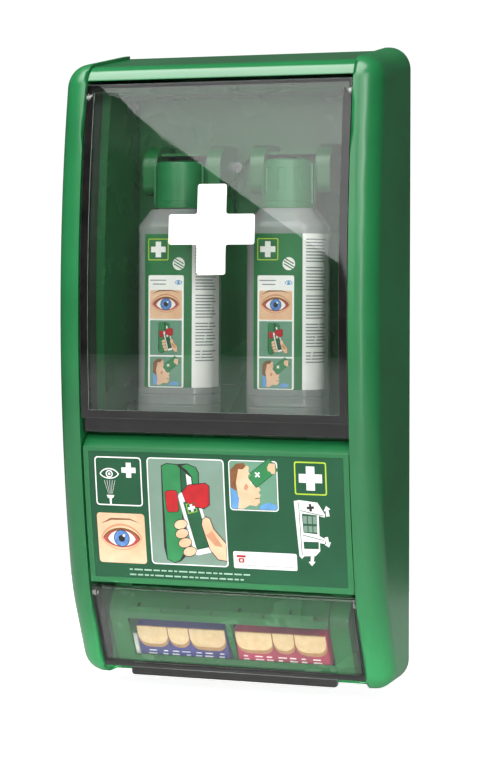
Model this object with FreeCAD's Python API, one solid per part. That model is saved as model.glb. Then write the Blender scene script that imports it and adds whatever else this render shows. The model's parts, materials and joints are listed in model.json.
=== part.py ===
import FreeCAD, Part
import math
import os

from FreeCAD import Vector

# Wall-mounted eyewash station. Millimetres; X to the right, Y into the wall, Z up.
# Depth is counted forward from the wall, so a depth d lies at y = -d.

# overall sizes
cabinet_width = 290.0
cabinet_height = 560.0
crest_depth = 120.0
wall = 2.5                      # moulded wall of the green pieces
fit_gap = 0.2                   # between pieces that are fixed to each other
swing_gap = 1.2                 # between a lid and the cheek beside it

# side profile of the cheeks
bow_radius = 1167.0             # long front bow
crest_height = 338.0            # where the bow stands furthest forward
chin_height = 92.0              # the bow hands over to the chin here
chin_radius = 160.0
chin_slope = 25.6               # degrees that the straight chin leans back
top_slope = 10.6                # degrees that the top falls to the front
corner_radius = 24.0            # front corners of the profile, top and bottom
edge_radius = 20.0              # rounding along the outer edge of a cheek
cheek_thickness = 23.5
emblem_width, emblem_height = 70.0, 56.0
emblem_arm_width, emblem_arm_height = 25.0, 19.5
emblem_depth, emblem_centre = 60.0, 388.5
emblem_relief = 0.6

# rear panel and wall fixing
panel_flange = 12.0
wall_hole_radius = 2.75
upper_hole_rise = 224.0         # above the liner floor, level with the caps
lower_hole_height = 141.0

# top cover
cover_inset = 2.5
cover_lip_fall = 33.0           # from the cabinet's top to the lip's lower edge

# upper compartment
liner_back = 8.0                # depth of its back face
liner_side_back, liner_side_front = 13.0, 10.5   # from the cheek to its opening
liner_floor = 233.0
liner_ceiling_fall = 43.0       # from the cabinet's top
liner_flange_inset = 32.0
liner_flange_below, liner_flange_above = 12.0, 6.0   # past the floor and the ceiling
recess_depth = 2.8
recess_half_width = 41.0
recess_rise, recess_height = 25.0, 127.0
recess_corner = 9.0
cup_outer_radius, cup_inner_radius, cup_rise = 7.4, 5.4, 3.0

# bottles
bottle_spacing = 100.6
bottle_depth = 57.0             # centre line, from the wall
bottle_half_width, bottle_half_depth = 34.5, 29.0
bottle_corner = 19.0            # rounding of the body's plan section
bottle_height_to_shoulder = 168.0
shoulder_height = 14.0
shoulder_half_width, shoulder_half_depth = 25.0, 23.5
bottle_foot_radius = 3.5
bottle_wall = 1.2
neck_radius, neck_height = 17.0, 8.0
cup_rim_radius, cup_foot_radius, cup_height, cup_wall = 18.5, 12.0, 26.0, 1.6
label_low, label_high = 26.0, 160.0
label_thickness = 0.3
label_sweep = 58.0              # width of the label's flat blank before it wraps the sides
cap_radius, cap_foot_radius = 22.0, 23.0
cap_height = 43.0
cap_wall = 2.0
cap_flute_count = 10
cap_flute_width, cap_flute_depth = 5.0, 0.8
cap_flute_low, cap_flute_high = 15.0, 35.0
cap_rib_width, cap_rib_offset = 2.0, 4.0
cap_grip_gap = 0.05             # between the cap's ribs and the fork

# bottle forks
fork_inner, fork_outer = 23.6, 36.5
fork_short = 2.0                # the arms stop this far behind the bottle's centre line
fork_rise, fork_height = 196.0, 44.0
fork_round = 20.0
fork_gusset_drop, fork_gusset_reach = 33.0, 18.0
fork_hood_drop, fork_hood_short = 9.0, 15.0
holder_screw_offset = 38.0
screw_head_radius, screw_head_height, screw_shank_radius = 4.6, 2.4, 1.6
cheek_screw_heights = (130.0, 300.0, 470.0)
cheek_screw_depth = 7.8
cheek_screw_head, cheek_screw_shank = 3.4, 1.5

# upper lid
lid_inset = 1.5
pane_wall = 3.0
lid_low = 221.0
lid_high_fall = 36.5            # from the cabinet's top
lid_depth = 30.0
lid_border, lid_border_rise = 7.0, 0.7
lip_step, lip_setback = 233.0, 4.5   # the lid's front steps back below this height for the fingers
lid_pin_setback, lid_pin_fall, lid_pin_radius = 7.3, 10.5, 3.0   # behind the bow, below the lid's top
lid_relief = 24.0               # nothing above the pin lies further from it than this
cross_size, cross_arm, cross_height = 77.5, 26.0, 396.2
cross_corner = 2.2
cross_thickness = 0.3
film_gap = 0.05                # glue under a printed film or ink

# folding front panel
panel_inset = 2.0
panel_low, panel_high = 87.5, 217.5
panel_depth = 17.0
ledge_fall, ledge_run = 10.0, 11.0
label_margin, label_sink = 5.0, 0.6
panel_pin_setback, panel_pin_rise, panel_pin_radius = 7.7, 6.0, 2.5
panel_relief = 13.0

# middle compartment
tray_floor, tray_ceiling = 98.0, 208.0
tray_side = 13.5
tray_flange_inset = 21.0
catch_width, catch_offset, catch_reach = 16.0, 80.0, 5.0

# plaster dispenser
dispenser_lid_low, dispenser_lid_high = 8.0, 84.0
dispenser_lid_depth = 16.0
dispenser_pane_wall = 2.5
dispenser_lid_brow = 4.0        # rounding along its top front edge
tab_side, tab_low = 26.0, 1.0
tab_thickness = 3.0
dispenser_pin_setback, dispenser_pin_fall, dispenser_pin_radius = 8.6, 7.5, 2.0
dispenser_relief = 9.0
bay_side = 28.5
bay_floor, bay_plate = 16.5, 2.5
sill_setback, sill_high, sill_run = 7.8, 20.0, 17.0
fascia_side = 11.5
fascia_setback = 3.0            # of the side columns behind the bar
wing_depth = 30.0
bar_shape = ((5.6, 54.0), (6.2, 60.0), (9.4, 65.0), (16.0, 70.0), (23.0, 76.0), (27.0, 81.0))  # setback, height
lock_hole_radius = 1.7
lock_hole_offset, lock_hole_pitch = 12.4, 23.0
lock_hole_heights = (62.8, 66.5)
divider_width = 5.0
refill_width, refill_height, refill_thickness = 84.0, 34.0, 17.0
refill_lean = 26.0              # degrees that the packs tip forward
refill_setback = 7.0            # of their lower front edge behind the sill
plaster_columns = (34.0, 20.0, 29.0)
plaster_length, plaster_thickness = 24.0, 1.6
key_width, key_height, key_thickness = 4.0, 24.0, 2.0

# worked out from the sizes above
cheek_round = min(edge_radius, cheek_thickness - wall - 0.5)
cheek_inner = cabinet_width / 2 - cheek_thickness
inner_half = cheek_inner - fit_gap
lid_half = cheek_inner - swing_gap
bow_centre = (crest_depth - bow_radius, crest_height)
chin_angle = math.asin((chin_height - crest_height) / bow_radius)
right_bottle_x = bottle_spacing / 2
upper_hole_height = liner_floor + upper_hole_rise
mount_height = (upper_hole_height + lower_hole_height) / 2
cover_lip_height = cabinet_height - cover_lip_fall
liner_ceiling = cabinet_height - liner_ceiling_fall
liner_flange_low, liner_flange_high = liner_floor - liner_flange_below, liner_ceiling + liner_flange_above
liner_half_width_back, liner_half_width_front = cheek_inner - liner_side_back, cheek_inner - liner_side_front
recess_low, recess_high = liner_floor + recess_rise, liner_floor + recess_rise + recess_height
fork_reach = bottle_depth - fork_short
fork_low, fork_high = liner_floor + fork_rise, liner_floor + fork_rise + fork_height
fork_centre = (fork_low + fork_high) / 2 + 4.0
lid_high = cabinet_height - lid_high_fall
lid_pin_height = lid_high - lid_pin_fall
panel_pin_height = panel_low + panel_pin_rise
tray_half_width = cheek_inner - tray_side
tab_half_width = cheek_inner - tab_side
dispenser_pin_height = dispenser_lid_high - dispenser_pin_fall
bay_half_width = cheek_inner - bay_side
fascia_half_width = cheek_inner - fascia_side


def at(depth, height, x=0.0):
    return Vector(x, -depth, height)


def box(x0, x1, d0, d1, z0, z1):
    return Part.makeBox(x1 - x0, d1 - d0, z1 - z0, Vector(x0, -d1, z0))


def rod(x0, x1, depth, height, radius):
    return Part.makeCylinder(radius, x1 - x0, at(depth, height, x0), Vector(1, 0, 0))


def face_of(edges):
    return Part.Face(Part.Wire(Part.__sortEdges__(edges)))


def polygon_face(points):
    return Part.Face(Part.makePolygon(points + points[:1]))


def mirrored(shape):
    return shape.mirror(Vector(0, 0, 0), Vector(1, 0, 0))


def both_sides(shape):
    return Part.makeCompound([shape, mirrored(shape)])


def bow_point(inset, angle):
    reach = bow_radius - inset
    return (bow_centre[0] + reach * math.cos(angle), bow_centre[1] + reach * math.sin(angle))


def chin_point(inset, angle):
    reach = bow_radius - chin_radius
    centre = (bow_centre[0] + reach * math.cos(chin_angle), bow_centre[1] + reach * math.sin(chin_angle))
    radius = chin_radius - inset
    return (centre[0] + radius * math.cos(angle), centre[1] + radius * math.sin(angle))


def front_depth(height, inset=0.0):
    """Depth of the profile, set back by inset, at a height."""
    if height >= chin_height:
        return bow_centre[0] + math.sqrt((bow_radius - inset) ** 2 - (height - bow_centre[1]) ** 2)
    low = chin_point(inset, -math.radians(chin_slope))
    if height <= low[1]:
        return low[0] - (low[1] - height) * math.tan(math.radians(chin_slope))
    reach = bow_radius - chin_radius
    centre_z = bow_centre[1] + reach * math.sin(chin_angle)
    centre_d = bow_centre[0] + reach * math.cos(chin_angle)
    return centre_d + math.sqrt((chin_radius - inset) ** 2 - (height - centre_z) ** 2)


lid_pin_depth = front_depth(lid_pin_height) - lid_pin_setback
panel_pin_depth = front_depth(panel_pin_height) - panel_pin_setback
dispenser_pin_depth = front_depth(dispenser_pin_height) - dispenser_pin_setback
bar_outline = [(front_depth(height) - setback, height) for setback, height in bar_shape]
sill_reach = front_depth(sill_high) - sill_setback
refill_front = sill_reach - refill_setback


def top_height(depth, inset=0.0):
    lean = math.radians(top_slope)
    return cabinet_height - inset / math.cos(lean) - depth * math.tan(lean)


def front_corner(inset):
    """Where the top line meets the bow, found by halving."""
    low, high = crest_height, cabinet_height
    for _ in range(50):
        middle = (low + high) / 2
        if top_height(front_depth(middle, inset), inset) > middle:
            low = middle
        else:
            high = middle
    return front_depth(low, inset), low


def profile_solid(inset, x0, x1, rear=0.0, rounded=True):
    """The cabinet's side profile, set back by inset, as a slab from x0 to x1."""
    corner_d, corner_z = front_corner(inset)
    corner_angle = math.asin((corner_z - bow_centre[1]) / (bow_radius - inset))
    slope = -math.radians(chin_slope)
    foot = inset
    points = [at(rear, foot, x0), at(front_depth(foot, inset), foot, x0), at(*chin_point(inset, slope), x0),
              at(*chin_point(inset, chin_angle), x0), at(corner_d, corner_z, x0),
              at(rear, top_height(rear, inset), x0)]
    chin_middle = at(*chin_point(inset, (slope + chin_angle) / 2), x0)
    bow_middle = at(*bow_point(inset, (chin_angle + corner_angle) / 2), x0)
    edges = [Part.makeLine(points[0], points[1]), Part.makeLine(points[1], points[2]),
             Part.Arc(points[2], chin_middle, points[3]).toShape(),
             Part.Arc(points[3], bow_middle, points[4]).toShape(),
             Part.makeLine(points[4], points[5]), Part.makeLine(points[5], points[0])]
    slab = face_of(edges).extrude(Vector(x1 - x0, 0, 0))
    if rounded:
        corners = [edge for edge in slab.Edges if along_x(edge)
                   and min(same_place(edge, points[1]), same_place(edge, points[4])) < 0.01]
        slab = slab.makeFillet(corner_radius - inset, corners)
    return slab


def along_x(edge):
    return len(edge.Vertexes) == 2 and abs(edge.Vertexes[0].X - edge.Vertexes[1].X) > edge.Length - 1e-6


def same_place(edge, point):
    return math.hypot(edge.Vertexes[0].Y - point.y, edge.Vertexes[0].Z - point.z)


def bow_solid(inset, x0, x1, low, high):
    """Everything behind the front bow, set back by inset, between two heights."""
    drum = rod(x0, x1, bow_centre[0], bow_centre[1], bow_radius - inset)
    return drum.common(box(x0, x1, 0, crest_depth + 1, low, high))


def hinge_relief(depth, height, radius, below=False):
    """What must go behind a pin so that a lid's edge clears the flange as it swings."""
    low, high = (0, height) if below else (height, cabinet_height)
    corner = box(-cabinet_width, cabinet_width, -1, depth, low, high)
    return corner.cut(rod(-cabinet_width, cabinet_width, depth, height, radius))


def skin(inset, thickness, x0, x1, low, high):
    """A curved sheet that follows the profile, between two heights."""
    sheet = bow_solid(inset, x0, x1, low, high)
    return sheet.cut(bow_solid(inset + thickness, x0 - 1, x1 + 1, low - 1, high + 1))


def cross_face(width, height, arm_width, arm_height, corner):
    """An upright cross in the X-Z plane with softened corners, centred on the origin."""
    across = Part.makeBox(width, 1, arm_height, Vector(-width / 2, 0, -arm_height / 2))
    upright = Part.makeBox(arm_width, 1, height, Vector(-arm_width / 2, 0, -height / 2))
    cross = across.fuse(upright).removeSplitter()
    if corner:
        cross = cross.makeFillet(corner, [e for e in cross.Edges if abs(e.tangentAt(e.FirstParameter).y) > 0.9])
    return cross


def cheek():
    """Right cheek: a hollow cover, open towards the wall."""
    outer_x = cabinet_width / 2
    shell = rounded_slab(0.0, cheek_inner, outer_x, 0.0, cheek_round)
    hollow = rounded_slab(wall, cheek_inner + wall, outer_x - wall, -wall, cheek_round - wall)
    shell = shell.cut(hollow)
    cross = cross_face(emblem_width, emblem_height, emblem_arm_width, emblem_arm_height, 0)
    cross.rotate(Vector(0, 0, 0), Vector(0, 0, 1), 90)
    cross.translate(Vector(outer_x - wall / 2 - cross.BoundBox.XMin, -emblem_depth, emblem_centre))
    limit = rounded_slab(-emblem_relief, cheek_inner, outer_x + emblem_relief, 0.0, cheek_round)
    raised = cross.common(limit).cut(hollow)
    shell = shell.fuse(raised)
    pins = ((lid_pin_depth, lid_pin_height, lid_pin_radius),
            (panel_pin_depth, panel_pin_height, panel_pin_radius),
            (dispenser_pin_depth, dispenser_pin_height, dispenser_pin_radius))
    for depth, height, radius in pins:
        shell = shell.cut(rod(cheek_inner - 1, cheek_inner + wall + 1, depth, height, radius + 0.08))
    for height in cheek_screw_heights:
        shell = shell.cut(rod(cheek_inner - 1, cheek_inner + wall + 1, cheek_screw_depth, height,
                              cheek_screw_shank))
    return shell


def rounded_slab(inset, x0, x1, rear, radius):
    slab = profile_solid(inset, x0, x1, rear)
    edges = [e for e in slab.Edges if all(abs(v.X - x1) < 1e-6 for v in e.Vertexes)
             and not all(abs(v.Y + rear) < 1e-6 for v in e.Vertexes)]
    return slab.makeFillet(radius, edges)


def rear_panel():
    high = top_height(panel_flange, cover_inset + wall) - fit_gap
    low = wall + fit_gap
    panel = box(-inner_half, inner_half, 0, wall, low, high)
    for x0, x1 in ((-inner_half, -inner_half + wall), (inner_half - wall, inner_half)):
        panel = panel.fuse(box(x0, x1, wall, panel_flange, tray_floor - wall, high))
    for height in (upper_hole_height, lower_hole_height):
        panel = panel.cut(Part.makeCylinder(wall_hole_radius, 4 * wall, at(-wall, height), Vector(0, -1, 0)))
    for height in cheek_screw_heights:
        panel = panel.cut(rod(-cabinet_width, cabinet_width, cheek_screw_depth, height, cheek_screw_shank))
    return panel.removeSplitter()


def cheek_screws():
    """Screws through the rear panel's side flanges into the cheeks, heads inside."""
    screws = []
    seat = inner_half - wall
    for height in cheek_screw_heights:
        shank = rod(seat - 0.5, cheek_inner + wall + 2.0, cheek_screw_depth, height, cheek_screw_shank)
        screw = shank.fuse(rod(seat - 2.2, seat, cheek_screw_depth, height, cheek_screw_head))
        screws += [screw.removeSplitter(), mirrored(screw.removeSplitter())]
    return Part.makeCompound(screws)


def top_cover():
    cover = profile_solid(cover_inset, -inner_half, inner_half)
    cover = cover.cut(profile_solid(cover_inset + wall, -inner_half - 1, inner_half + 1, -wall))
    return cover.common(box(-inner_half, inner_half, 0, crest_depth, cover_lip_height, cabinet_height))


def plan_slab(half_back, half_front, back, front, low, high):
    points = [at(back, low, -half_back), at(front, low, -half_front), at(front, low, half_front),
              at(back, low, half_back)]
    return polygon_face(points).extrude(Vector(0, 0, high - low))


def recess_block(centre, grow, back, front):
    block = box(centre - recess_half_width - grow, centre + recess_half_width + grow, back, front,
                recess_low - grow, recess_high + grow)
    return block.makeFillet(recess_corner + grow, [e for e in block.Edges
                            if abs(e.tangentAt(e.FirstParameter).y) > 0.9])


def upper_liner():
    tub = plan_slab(liner_half_width_back + wall, liner_half_width_front + wall, liner_back - wall,
                    crest_depth, liner_floor - wall, liner_ceiling + wall)
    hollow = plan_slab(liner_half_width_back, liner_half_width_front, liner_back, crest_depth + 1,
                       liner_floor, liner_ceiling)
    centres = (-right_bottle_x, right_bottle_x)
    for centre in centres:
        tub = tub.fuse(recess_block(centre, 0, liner_back - wall - recess_depth, liner_back))
    tub = tub.common(bow_solid(liner_flange_inset, -inner_half, inner_half, 0, cabinet_height))
    flange = skin(liner_flange_inset, wall, -inner_half, inner_half, liner_flange_low, liner_flange_high)
    ring = Part.makeCylinder(cup_outer_radius, cup_rise, at(liner_back, upper_hole_height), Vector(0, -1, 0))
    liner = tub.fuse(flange).cut(hollow).fuse(ring)
    for centre in centres:
        liner = liner.cut(recess_block(centre, -1.0, liner_back - recess_depth, liner_back + 1))
        screw_x = centre - math.copysign(holder_screw_offset, centre)
        liner = liner.cut(Part.makeCylinder(screw_shank_radius, liner_back + 1, at(0, fork_centre, screw_x),
                                            Vector(0, -1, 0)))
    bore = Part.makeCylinder(cup_inner_radius, 30, at(0, upper_hole_height), Vector(0, -1, 0))
    return liner.cut(bore).removeSplitter()


def middle_tray():
    flange_low, flange_high = panel_low + 1.0, liner_flange_low - 1.5
    tub = plan_slab(tray_half_width + wall, tray_half_width + wall, liner_back - wall, crest_depth,
                    tray_floor - wall, tray_ceiling + wall)
    tub = tub.common(bow_solid(tray_flange_inset, -inner_half, inner_half, 0, cabinet_height))
    hollow = plan_slab(tray_half_width, tray_half_width, liner_back, crest_depth + 1, tray_floor, tray_ceiling)
    flange = skin(tray_flange_inset, wall, -inner_half, inner_half, flange_low, flange_high)
    boss = Part.makeCylinder(cup_outer_radius, liner_back - 2 * wall - fit_gap, at(wall + fit_gap, lower_hole_height),
                             Vector(0, -1, 0))
    bore = Part.makeCylinder(cup_inner_radius, 30, at(0, lower_hole_height), Vector(0, -1, 0))
    return tub.fuse(flange).cut(hollow).fuse(boss).cut(bore).removeSplitter()


def panel_catches():
    """Two snap hooks under the top edge of the folding panel."""
    top = panel_high - wall - 1.2
    hooks = []
    for centre in (-catch_offset, catch_offset):
        x0, x1 = centre - catch_width / 2, centre + catch_width / 2
        back = front_depth(top, tray_flange_inset) + 0.02
        arm = box(x0, x1, back, back + catch_reach, top - 2.0, top)
        barb = box(x0, x1, back + catch_reach - 2.0, back + catch_reach, top - 3.4, top)
        hooks.append(arm.fuse(barb).removeSplitter())
    return Part.makeCompound(hooks)


def hollow_tray(inset, depth, thickness, low, high, floor=True, roof=True):
    """A shallow tray that follows the front bow, open towards the wall."""
    inner_x = lid_half - thickness
    tray = skin(inset, depth, -lid_half, lid_half, low, high)
    inner_low = low + thickness if floor else low - 1
    inner_high = high - thickness if roof else high + 1
    return tray.cut(bow_solid(inset + thickness, -inner_x, inner_x, inner_low, inner_high))


def pin_holes(depth, height, radius, thickness):
    return both_sides(rod(lid_half - thickness - 1, lid_half + 1, depth, height, radius))


def upper_lid():
    lid = hollow_tray(lid_inset, lid_depth, pane_wall, lip_step, lid_high, floor=False)
    panel = skin(lid_inset - 1, 1 + lid_border_rise, -lid_half + lid_border, lid_half - lid_border,
                 lip_step + lid_border, lid_high - lid_border)
    lower = hollow_tray(lid_inset + lip_setback, lid_depth - lip_setback, pane_wall, lid_low,
                        lip_step + pane_wall, roof=False)
    step = skin(lid_inset, lip_setback + pane_wall, -lid_half, lid_half, lip_step, lip_step + pane_wall)
    lid = lid.cut(panel).fuse([lower, step])
    lid = lid.cut(hinge_relief(lid_pin_depth, lid_pin_height, lid_relief))
    return lid.cut(pin_holes(lid_pin_depth, lid_pin_height, lid_pin_radius, pane_wall)).removeSplitter()


def pin_pair(depth, height, radius, thickness):
    """Two pins: through the lid's side wall, a collar in the gap, and on into the cheek."""
    shank = rod(lid_half - thickness, cheek_inner + wall, depth, height, radius)
    collar = rod(lid_half, cheek_inner - 0.25, depth, height, radius + 1.0)
    return both_sides(shank.fuse(collar).removeSplitter())


def lid_cross():
    """The printed cross, a thin sheet on the front of the upper lid's pane."""
    cross = cross_face(cross_size, cross_size, cross_arm, cross_arm, cross_corner)
    column = cross.fuse(cross.translated(Vector(0, 0.9, 0)))
    for step in range(2, 12):
        column = column.fuse(cross.translated(Vector(0, 0.9 * step, 0)))
    column.translate(Vector(0, -crest_depth, cross_height))
    sheet = skin(lid_inset + lid_border_rise - cross_thickness - film_gap, cross_thickness, -cross_size, cross_size,
                 cross_height - cross_size, cross_height + cross_size)
    return sheet.common(column)


def front_panel():
    panel = hollow_tray(panel_inset, panel_depth, wall, panel_low, panel_high)
    front = front_depth(panel_high - ledge_fall, panel_inset)
    x0, x1 = -lid_half, lid_half
    outline = [(front + 3, panel_high - ledge_fall), (front, panel_high - ledge_fall),
               (front - ledge_run, panel_high), (front - ledge_run, panel_high + 3), (front + 3, panel_high + 3)]
    wedge = polygon_face([at(d, z, x0 - 1) for d, z in outline]).extrude(Vector(x1 - x0 + 2, 0, 0))
    slope = [(front - wall, panel_high - ledge_fall - wall), (front, panel_high - ledge_fall),
             (front - ledge_run, panel_high), (front - ledge_run - wall, panel_high - wall)]
    ledge = polygon_face([at(d, z, x0) for d, z in slope]).extrude(Vector(x1 - x0, 0, 0))
    panel = panel.cut(wedge).fuse(ledge)
    panel = panel.cut(hinge_relief(panel_pin_depth, panel_pin_height, panel_relief, True))
    panel = panel.cut(label_pocket(-1.0, label_sink))
    return panel.cut(pin_holes(panel_pin_depth, panel_pin_height, panel_pin_radius, wall)).removeSplitter()


def label_pocket(rise, sink, trim=0.0):
    """The sunk field of the folding panel, or the label that fills it."""
    half = lid_half - label_margin - trim
    low, high = panel_low + label_margin + trim, panel_high - ledge_fall - label_margin + 1.5 - trim
    return skin(panel_inset + rise, sink - rise, -half, half, low, high)


def column_solid(outline, x0, x1):
    return polygon_face([at(d, z, x0) for d, z in outline]).extrude(Vector(x1 - x0, 0, 0))


def dispenser_column(setback, shrink):
    """Side outline of the columns beside the bay; shrink gives the hollow inside."""
    rear, low = wall + fit_gap + shrink, wall + fit_gap + shrink
    high = tray_floor - wall - fit_gap - shrink
    face = [(d - setback - shrink, z) for d, z in bar_outline]
    foot = [(rear, low), (sill_reach - sill_run - shrink, low), (sill_reach - setback - shrink, sill_high)]
    return foot + face + [(face[-1][0], high), (rear, high)]


def dispenser_housing():
    """Bottom tub: back and floor, a hollow column each side of the bay, a sloping sill."""
    high = tray_floor - wall - fit_gap
    rear = wall + fit_gap
    tub = box(-inner_half, inner_half, rear, rear + wall, rear, high)
    foot = sill_reach - sill_run
    tub = tub.fuse(box(-inner_half, inner_half, rear, foot, rear, rear + wall))
    tub = tub.fuse(box(-bay_half_width - 1, bay_half_width + 1, rear, sill_reach - 11.0, bay_floor - bay_plate, bay_floor))
    column = column_solid(dispenser_column(fascia_setback, 0), bay_half_width, fascia_half_width)
    column = column.cut(column_solid(dispenser_column(fascia_setback, wall), bay_half_width + wall,
                                     fascia_half_width - wall))
    wing = box(fascia_half_width - 1, inner_half, rear, wing_depth, rear, high)
    wing = wing.cut(box(fascia_half_width, inner_half - wall, rear + wall, wing_depth - wall, 0, high - wall))
    sill = [(foot - wall, rear), (foot, rear), (sill_reach, sill_high), (sill_reach - wall, sill_high)]
    tub = tub.fuse(both_sides(column.fuse(wing)))
    return tub.fuse(column_solid(sill, -bay_half_width - 1, bay_half_width + 1)).removeSplitter()


def dispenser_bar():
    """The removable bar over the bay, with its staggered lock holes."""
    half = bay_half_width - fit_gap
    back = [(d - wall, z) for d, z in bar_outline]
    bar = column_solid(list(bar_outline) + back[::-1], -half, half)
    for side in (-1, 1):
        for index in range(4):
            x = side * (lock_hole_offset + index * lock_hole_pitch)
            height = lock_hole_heights[(index + (side > 0)) % 2]
            bar = bar.cut(Part.makeCylinder(lock_hole_radius, 40, at(50, height, x), Vector(0, -1, 0)))
    return bar


def dispenser_divider():
    rear, low = 2 * wall + 2 * fit_gap, bay_floor + fit_gap
    front, top = bar_outline[0]
    outline = [(rear, low), (refill_front - 4, low), (front - wall - 1.0, top), (front - wall - 1.0, top + 11.0),
               (rear, top + 11.0)]
    return column_solid(outline, -divider_width / 2, divider_width / 2)


def refill(side):
    """A card pack that tips forward in its bay."""
    x0 = divider_width / 2 + 1.5
    pack = Part.makeBox(refill_width, refill_thickness, refill_height, Vector(x0, 0, 0))
    place_pack(pack)
    return pack if side > 0 else mirrored(pack)


def place_pack(shape):
    """Tip a shape forward about its lower front edge and set that edge on the bay floor."""
    shape.rotate(Vector(0, 0, 0), Vector(1, 0, 0), refill_lean)
    shape.translate(at(refill_front, bay_floor + fit_gap))


def plasters(side):
    """Three columns of plasters hanging on the pack's front, lower ends rounded."""
    strips = []
    x = divider_width / 2 + 2.0
    for width in plaster_columns:
        body = Part.makeBox(width - 0.8, plaster_thickness, plaster_length,
                            Vector(x, -plaster_thickness - 0.1, refill_height - plaster_length))
        ends = [e for e in body.Edges if abs(e.tangentAt(e.FirstParameter).y) > 0.9
                and e.BoundBox.ZMax < refill_height - plaster_length + 1]
        strips.append(body.makeFillet(min(7.0, width / 2 - 1), ends))
        x += width
    group = Part.makeCompound(strips)
    place_pack(group)
    return group if side > 0 else mirrored(group)


def refill_key():
    key = Part.makeBox(key_width, key_thickness, key_height, Vector(-bay_half_width + fit_gap, 0, 0))
    place_pack(key)
    return key


def dispenser_lid():
    inner_x = lid_half - dispenser_pane_wall
    deep, thin = lid_inset + dispenser_lid_depth, lid_inset + dispenser_pane_wall
    tray = profile_solid(lid_inset, -lid_half, lid_half)
    back = profile_solid(deep, -lid_half - 1, lid_half + 1, -1, False)
    back = back.fuse(box(-lid_half - 1, lid_half + 1, -1, front_depth(deep + 1, deep), -5, deep + 1))
    low, high = dispenser_lid_low, dispenser_lid_high
    tray = tray.cut(back).common(box(-lid_half, lid_half, 0, crest_depth, low, high))
    brow = [e for e in tray.Edges if along_x(e) and e.BoundBox.ZMin > high - 0.1
            and e.BoundBox.YMin < 1 - front_depth(high, lid_inset)]
    tray = tray.makeFillet(dispenser_lid_brow, brow)
    core = profile_solid(thin, -inner_x, inner_x, 0.0)
    tray = tray.cut(core.common(box(-inner_x, inner_x, 0, crest_depth, 0, high - dispenser_pane_wall)))
    front = max(-v.Y for v in tray.Vertexes if v.Z < low + 0.1)
    tab = box(-tab_half_width, tab_half_width, front - tab_thickness, front, tab_low, low + 1.5)
    tab = tab.makeFillet(tab_thickness, [e for e in tab.Edges if abs(e.tangentAt(e.FirstParameter).y) > 0.9
                                         and e.BoundBox.ZMax < low])
    lid = tray.fuse(tab).cut(hinge_relief(dispenser_pin_depth, dispenser_pin_height, dispenser_relief))
    return lid.cut(pin_holes(dispenser_pin_depth, dispenser_pin_height, dispenser_pin_radius,
                             dispenser_pane_wall)).removeSplitter()


def plan_section(half_width, half_depth, corner, height):
    """A rounded rectangle at a height, centred on the bottle's axis."""
    slab = Part.makeBox(2 * half_width, 2 * half_depth, 1, Vector(-half_width, -half_depth, 0))
    slab = slab.makeFillet(corner, [e for e in slab.Edges if abs(e.tangentAt(e.FirstParameter).z) > 0.9])
    top = max(slab.Faces, key=lambda face: face.CenterOfMass.z)
    wire = top.OuterWire
    wire.translate(Vector(0, 0, height - 1))
    return wire


def bottle_form(shrink, low):
    """Body with its sloping shoulder; shrink draws every wall in."""
    body = Part.Face(plan_section(bottle_half_width - shrink, bottle_half_depth - shrink,
                                  bottle_corner - shrink, low))
    body = body.extrude(Vector(0, 0, bottle_height_to_shoulder - low))
    if not shrink:
        body = body.makeFillet(bottle_foot_radius, [e for e in body.Edges if e.BoundBox.ZMax < low + 0.01])
    wires = [plan_section(bottle_half_width - shrink, bottle_half_depth - shrink, bottle_corner - shrink,
                          bottle_height_to_shoulder),
             plan_section(shoulder_half_width - shrink, shoulder_half_depth - shrink,
                          shoulder_half_depth - shrink - 0.5, bottle_height_to_shoulder + shoulder_height - shrink)]
    return body.fuse(Part.makeLoft(wires, True, True)).removeSplitter()


def neck_base():
    return bottle_height_to_shoulder + shoulder_height


def bottle():
    neck = Part.makeCylinder(neck_radius, neck_height, Vector(0, 0, neck_base()))
    bore = Part.makeCylinder(neck_radius - bottle_wall, neck_height + 10, Vector(0, 0, neck_base() - 5))
    form = bottle_form(0.0, 0.0).fuse(neck)
    return form.cut(bottle_form(bottle_wall, bottle_wall)).cut(bore).removeSplitter()


def eye_cup():
    """Soft cup on the neck that fits round the eye."""
    base = neck_base() + neck_height
    outer = Part.makeCone(cup_foot_radius, cup_rim_radius, cup_height, Vector(0, 0, base))
    inner = Part.makeCone(cup_foot_radius - cup_wall, cup_rim_radius - cup_wall, cup_height - cup_wall,
                          Vector(0, 0, base + cup_wall))
    plate = Part.makeCylinder(neck_radius, cup_wall, Vector(0, 0, base))
    cup = outer.fuse(plate).cut(inner)
    return cup.cut(Part.makeCylinder(1.5, 3 * cup_wall, Vector(0, 0, base - cup_wall))).removeSplitter()


def bottle_label():
    """Label wrapped on the front of the body."""
    out = label_thickness + film_gap
    sleeve = Part.Face(plan_section(bottle_half_width + out, bottle_half_depth + out, bottle_corner + out, label_low))
    sleeve = sleeve.extrude(Vector(0, 0, label_high - label_low))
    body = Part.Face(plan_section(bottle_half_width + film_gap, bottle_half_depth + film_gap,
                                  bottle_corner + film_gap, label_low))
    sleeve = sleeve.cut(body.extrude(Vector(0, 0, label_high)))
    return sleeve.common(box(-label_sweep / 2, label_sweep / 2, 0, bottle_half_depth + 1, label_low, label_high))


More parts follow.
